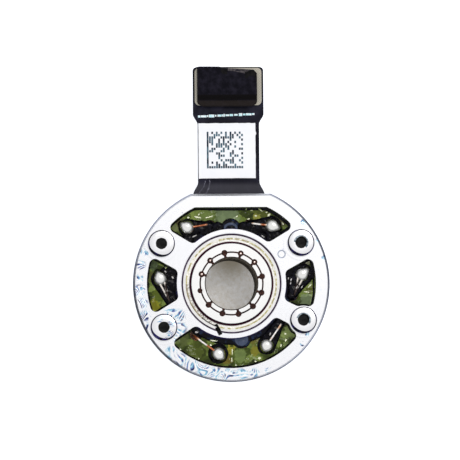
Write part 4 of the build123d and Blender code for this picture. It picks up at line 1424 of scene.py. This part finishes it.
# --- Camera: almost straight above, leaning a little towards -X and -Y ---
CAMERA_RISE = 440.0
VIEW_CENTRE = Vector((-0.117, 5.98, plate_top))
VIEW_WIDTH = 51.4
CAMERA_LEAN = Vector((-16.4, -16.4, 0.0))
CAMERA_ROLL = -0.5
SENSOR = 36.0


def make_camera():
    """A long lens that looks down at the motor and its tail."""
    data = bpy.data.cameras.new("camera")
    made = bpy.data.objects.new("camera", data)
    bpy.context.scene.collection.objects.link(made)
    spot = CAMERA_LEAN + Vector((0, 0, plate_top + CAMERA_RISE))
    look = (VIEW_CENTRE - spot).normalized()
    right = look.cross(Vector((0, 1, 0))).normalized()
    turn = Matrix((right, right.cross(look), -look)).transposed().to_4x4()
    roll = Matrix.Rotation(math.radians(CAMERA_ROLL), 4, "Z")
    made.matrix_world = Matrix.Translation(spot * MM) @ turn @ roll
    data.sensor_width = SENSOR
    data.lens = SENSOR * (VIEW_CENTRE - spot).length / VIEW_WIDTH
    data.clip_start = 0.001
    data.clip_end = 10.0
    bpy.context.scene.camera = made


make_camera()


# --- Floor, world and lamps ---
FLOOR_HALF = 1500.0
FLOOR_LEVEL = -0.02
CARD_LIFT = 0.7  # how much of the card's white is its own for the camera and for mirrors
BORE_LIFT = 0.32  # the same under the bore
BORE_SHADE_CENTRE = (0.3, 3.4, 0.0)
FLAG_TURN = 0.9  # turns the two dark sides that only bright metal mirrors


@finish
def white_backdrop(node, place):
    """Matt white card. What the camera and mirrors see of it is lifted to paper white, and shadows stay."""
    clouds = node("TexNoise", Vector=place, Scale=1 / 3.0)
    tint = node("Mix", clouds, "#f6f7f9", "#eef1f6")
    bore = node("MapRange", from_axis(node, place), BORE_R, shaft_r, 1.0, 0.0)
    dust = node("TexNoise", Vector=place, Scale=1 / 0.5, Detail=6.0, Roughness=0.75)
    dusty = node("ValToRGB", dust, stops=((0.36, "#e2dcd2"), (0.52, "#f4f1ec"), (0.64, "#ffffff")))
    tint = node("Mix", bore, tint, dusty)
    shade = node("VectorMath DISTANCE", place, BORE_SHADE_CENTRE)
    shade = node("MapRange", shade, 0.6, 3.6, 0.9, 0.0)
    tint = node("Mix", shade, tint, "#a39a86")
    mirrored = node("LightPath", out="Is Glossy Ray")
    seen = node("LightPath", out="Is Camera Ray")
    clear = node("Math MAXIMUM", seen, node("LightPath", out="Is Transmission Ray"))
    turned = node("Math MULTIPLY", node("Math RADIANS", round_axis(node, place)), 2.0)
    turned = node("Math SINE", node("Math ADD", turned, FLAG_TURN))
    flags = node("Math MULTIPLY", node("MapRange", turned, -0.4, 0.9), mirrored)
    flags = node("Math MULTIPLY", flags, node("MapRange", from_axis(node, place), 12.0, 30.0))
    tint = node("Mix", flags, tint, "#6c7078")
    card = node("BsdfDiffuse", tint)
    under = node("MapRange", from_axis(node, place), BORE_R, shaft_r, BORE_LIFT, CARD_LIFT)
    under = node("Math MULTIPLY", under, node("Math ADD", clear, node("Math MULTIPLY", mirrored, 0.1)))
    return node("AddShader", card, node("Emission", tint, under))


edges = (-FLOOR_HALF, FLOOR_HALF)
card_form = skin([[Vector((x, y, FLOOR_LEVEL)) for x in edges] for y in edges], ring=False)
floor = piece("floor", card_form, "white_label", None, material=white_backdrop("matt_white_card"))


def make_world():
    """White for the camera, white overhead and dark near the horizon for mirrors, soft white for the rest."""
    world = bpy.data.worlds.new("studio")
    bpy.context.scene.world = world
    world.use_nodes = True
    world.node_tree.nodes.clear()
    node = functools.partial(add, world.node_tree)
    height = node("SeparateXYZ", node("TexCoord", out="Generated"), out="Z")
    sky = node("ValToRGB", height, stops=((0.12, "#1e1e26"), (0.6, "#ffffff")))
    mirrored = node("Background", sky, 0.82)
    lighting = node("Background", "#f8faff", 0.88)
    white = node("Background", "#ffffff", 1.0)
    reflected = node("LightPath", out="Is Glossy Ray")
    clear = node("Math MAXIMUM", reflected, node("LightPath", out="Is Transmission Ray"))
    mixed = node("MixShader", clear, lighting, mirrored)
    mixed = node("MixShader", node("LightPath", out="Is Camera Ray"), mixed, white)
    node("OutputWorld", mixed)


make_world()


def area_lamp(name, spot, size, power, colour):
    """A soft square lamp that looks at the motor."""
    data = bpy.data.lights.new(name, "AREA")
    data.size = size * MM
    data.energy = power
    data.color = linear(colour)[:3]
    made = bpy.data.objects.new(name, data)
    made.location = Vector(spot) * MM
    made.rotation_mode = "QUATERNION"
    made.rotation_quaternion = (-Vector(spot)).to_track_quat("-Z", "Y")
    bpy.context.scene.collection.objects.link(made)


area_lamp("key_lamp", (130, 170, 430), 130, 0.39, "#fffaf4")
area_lamp("glint_lamp", (40, 150, 460), 24, 0.06, "#ffffff")

bpy.context.scene.view_settings.view_transform = "Standard"
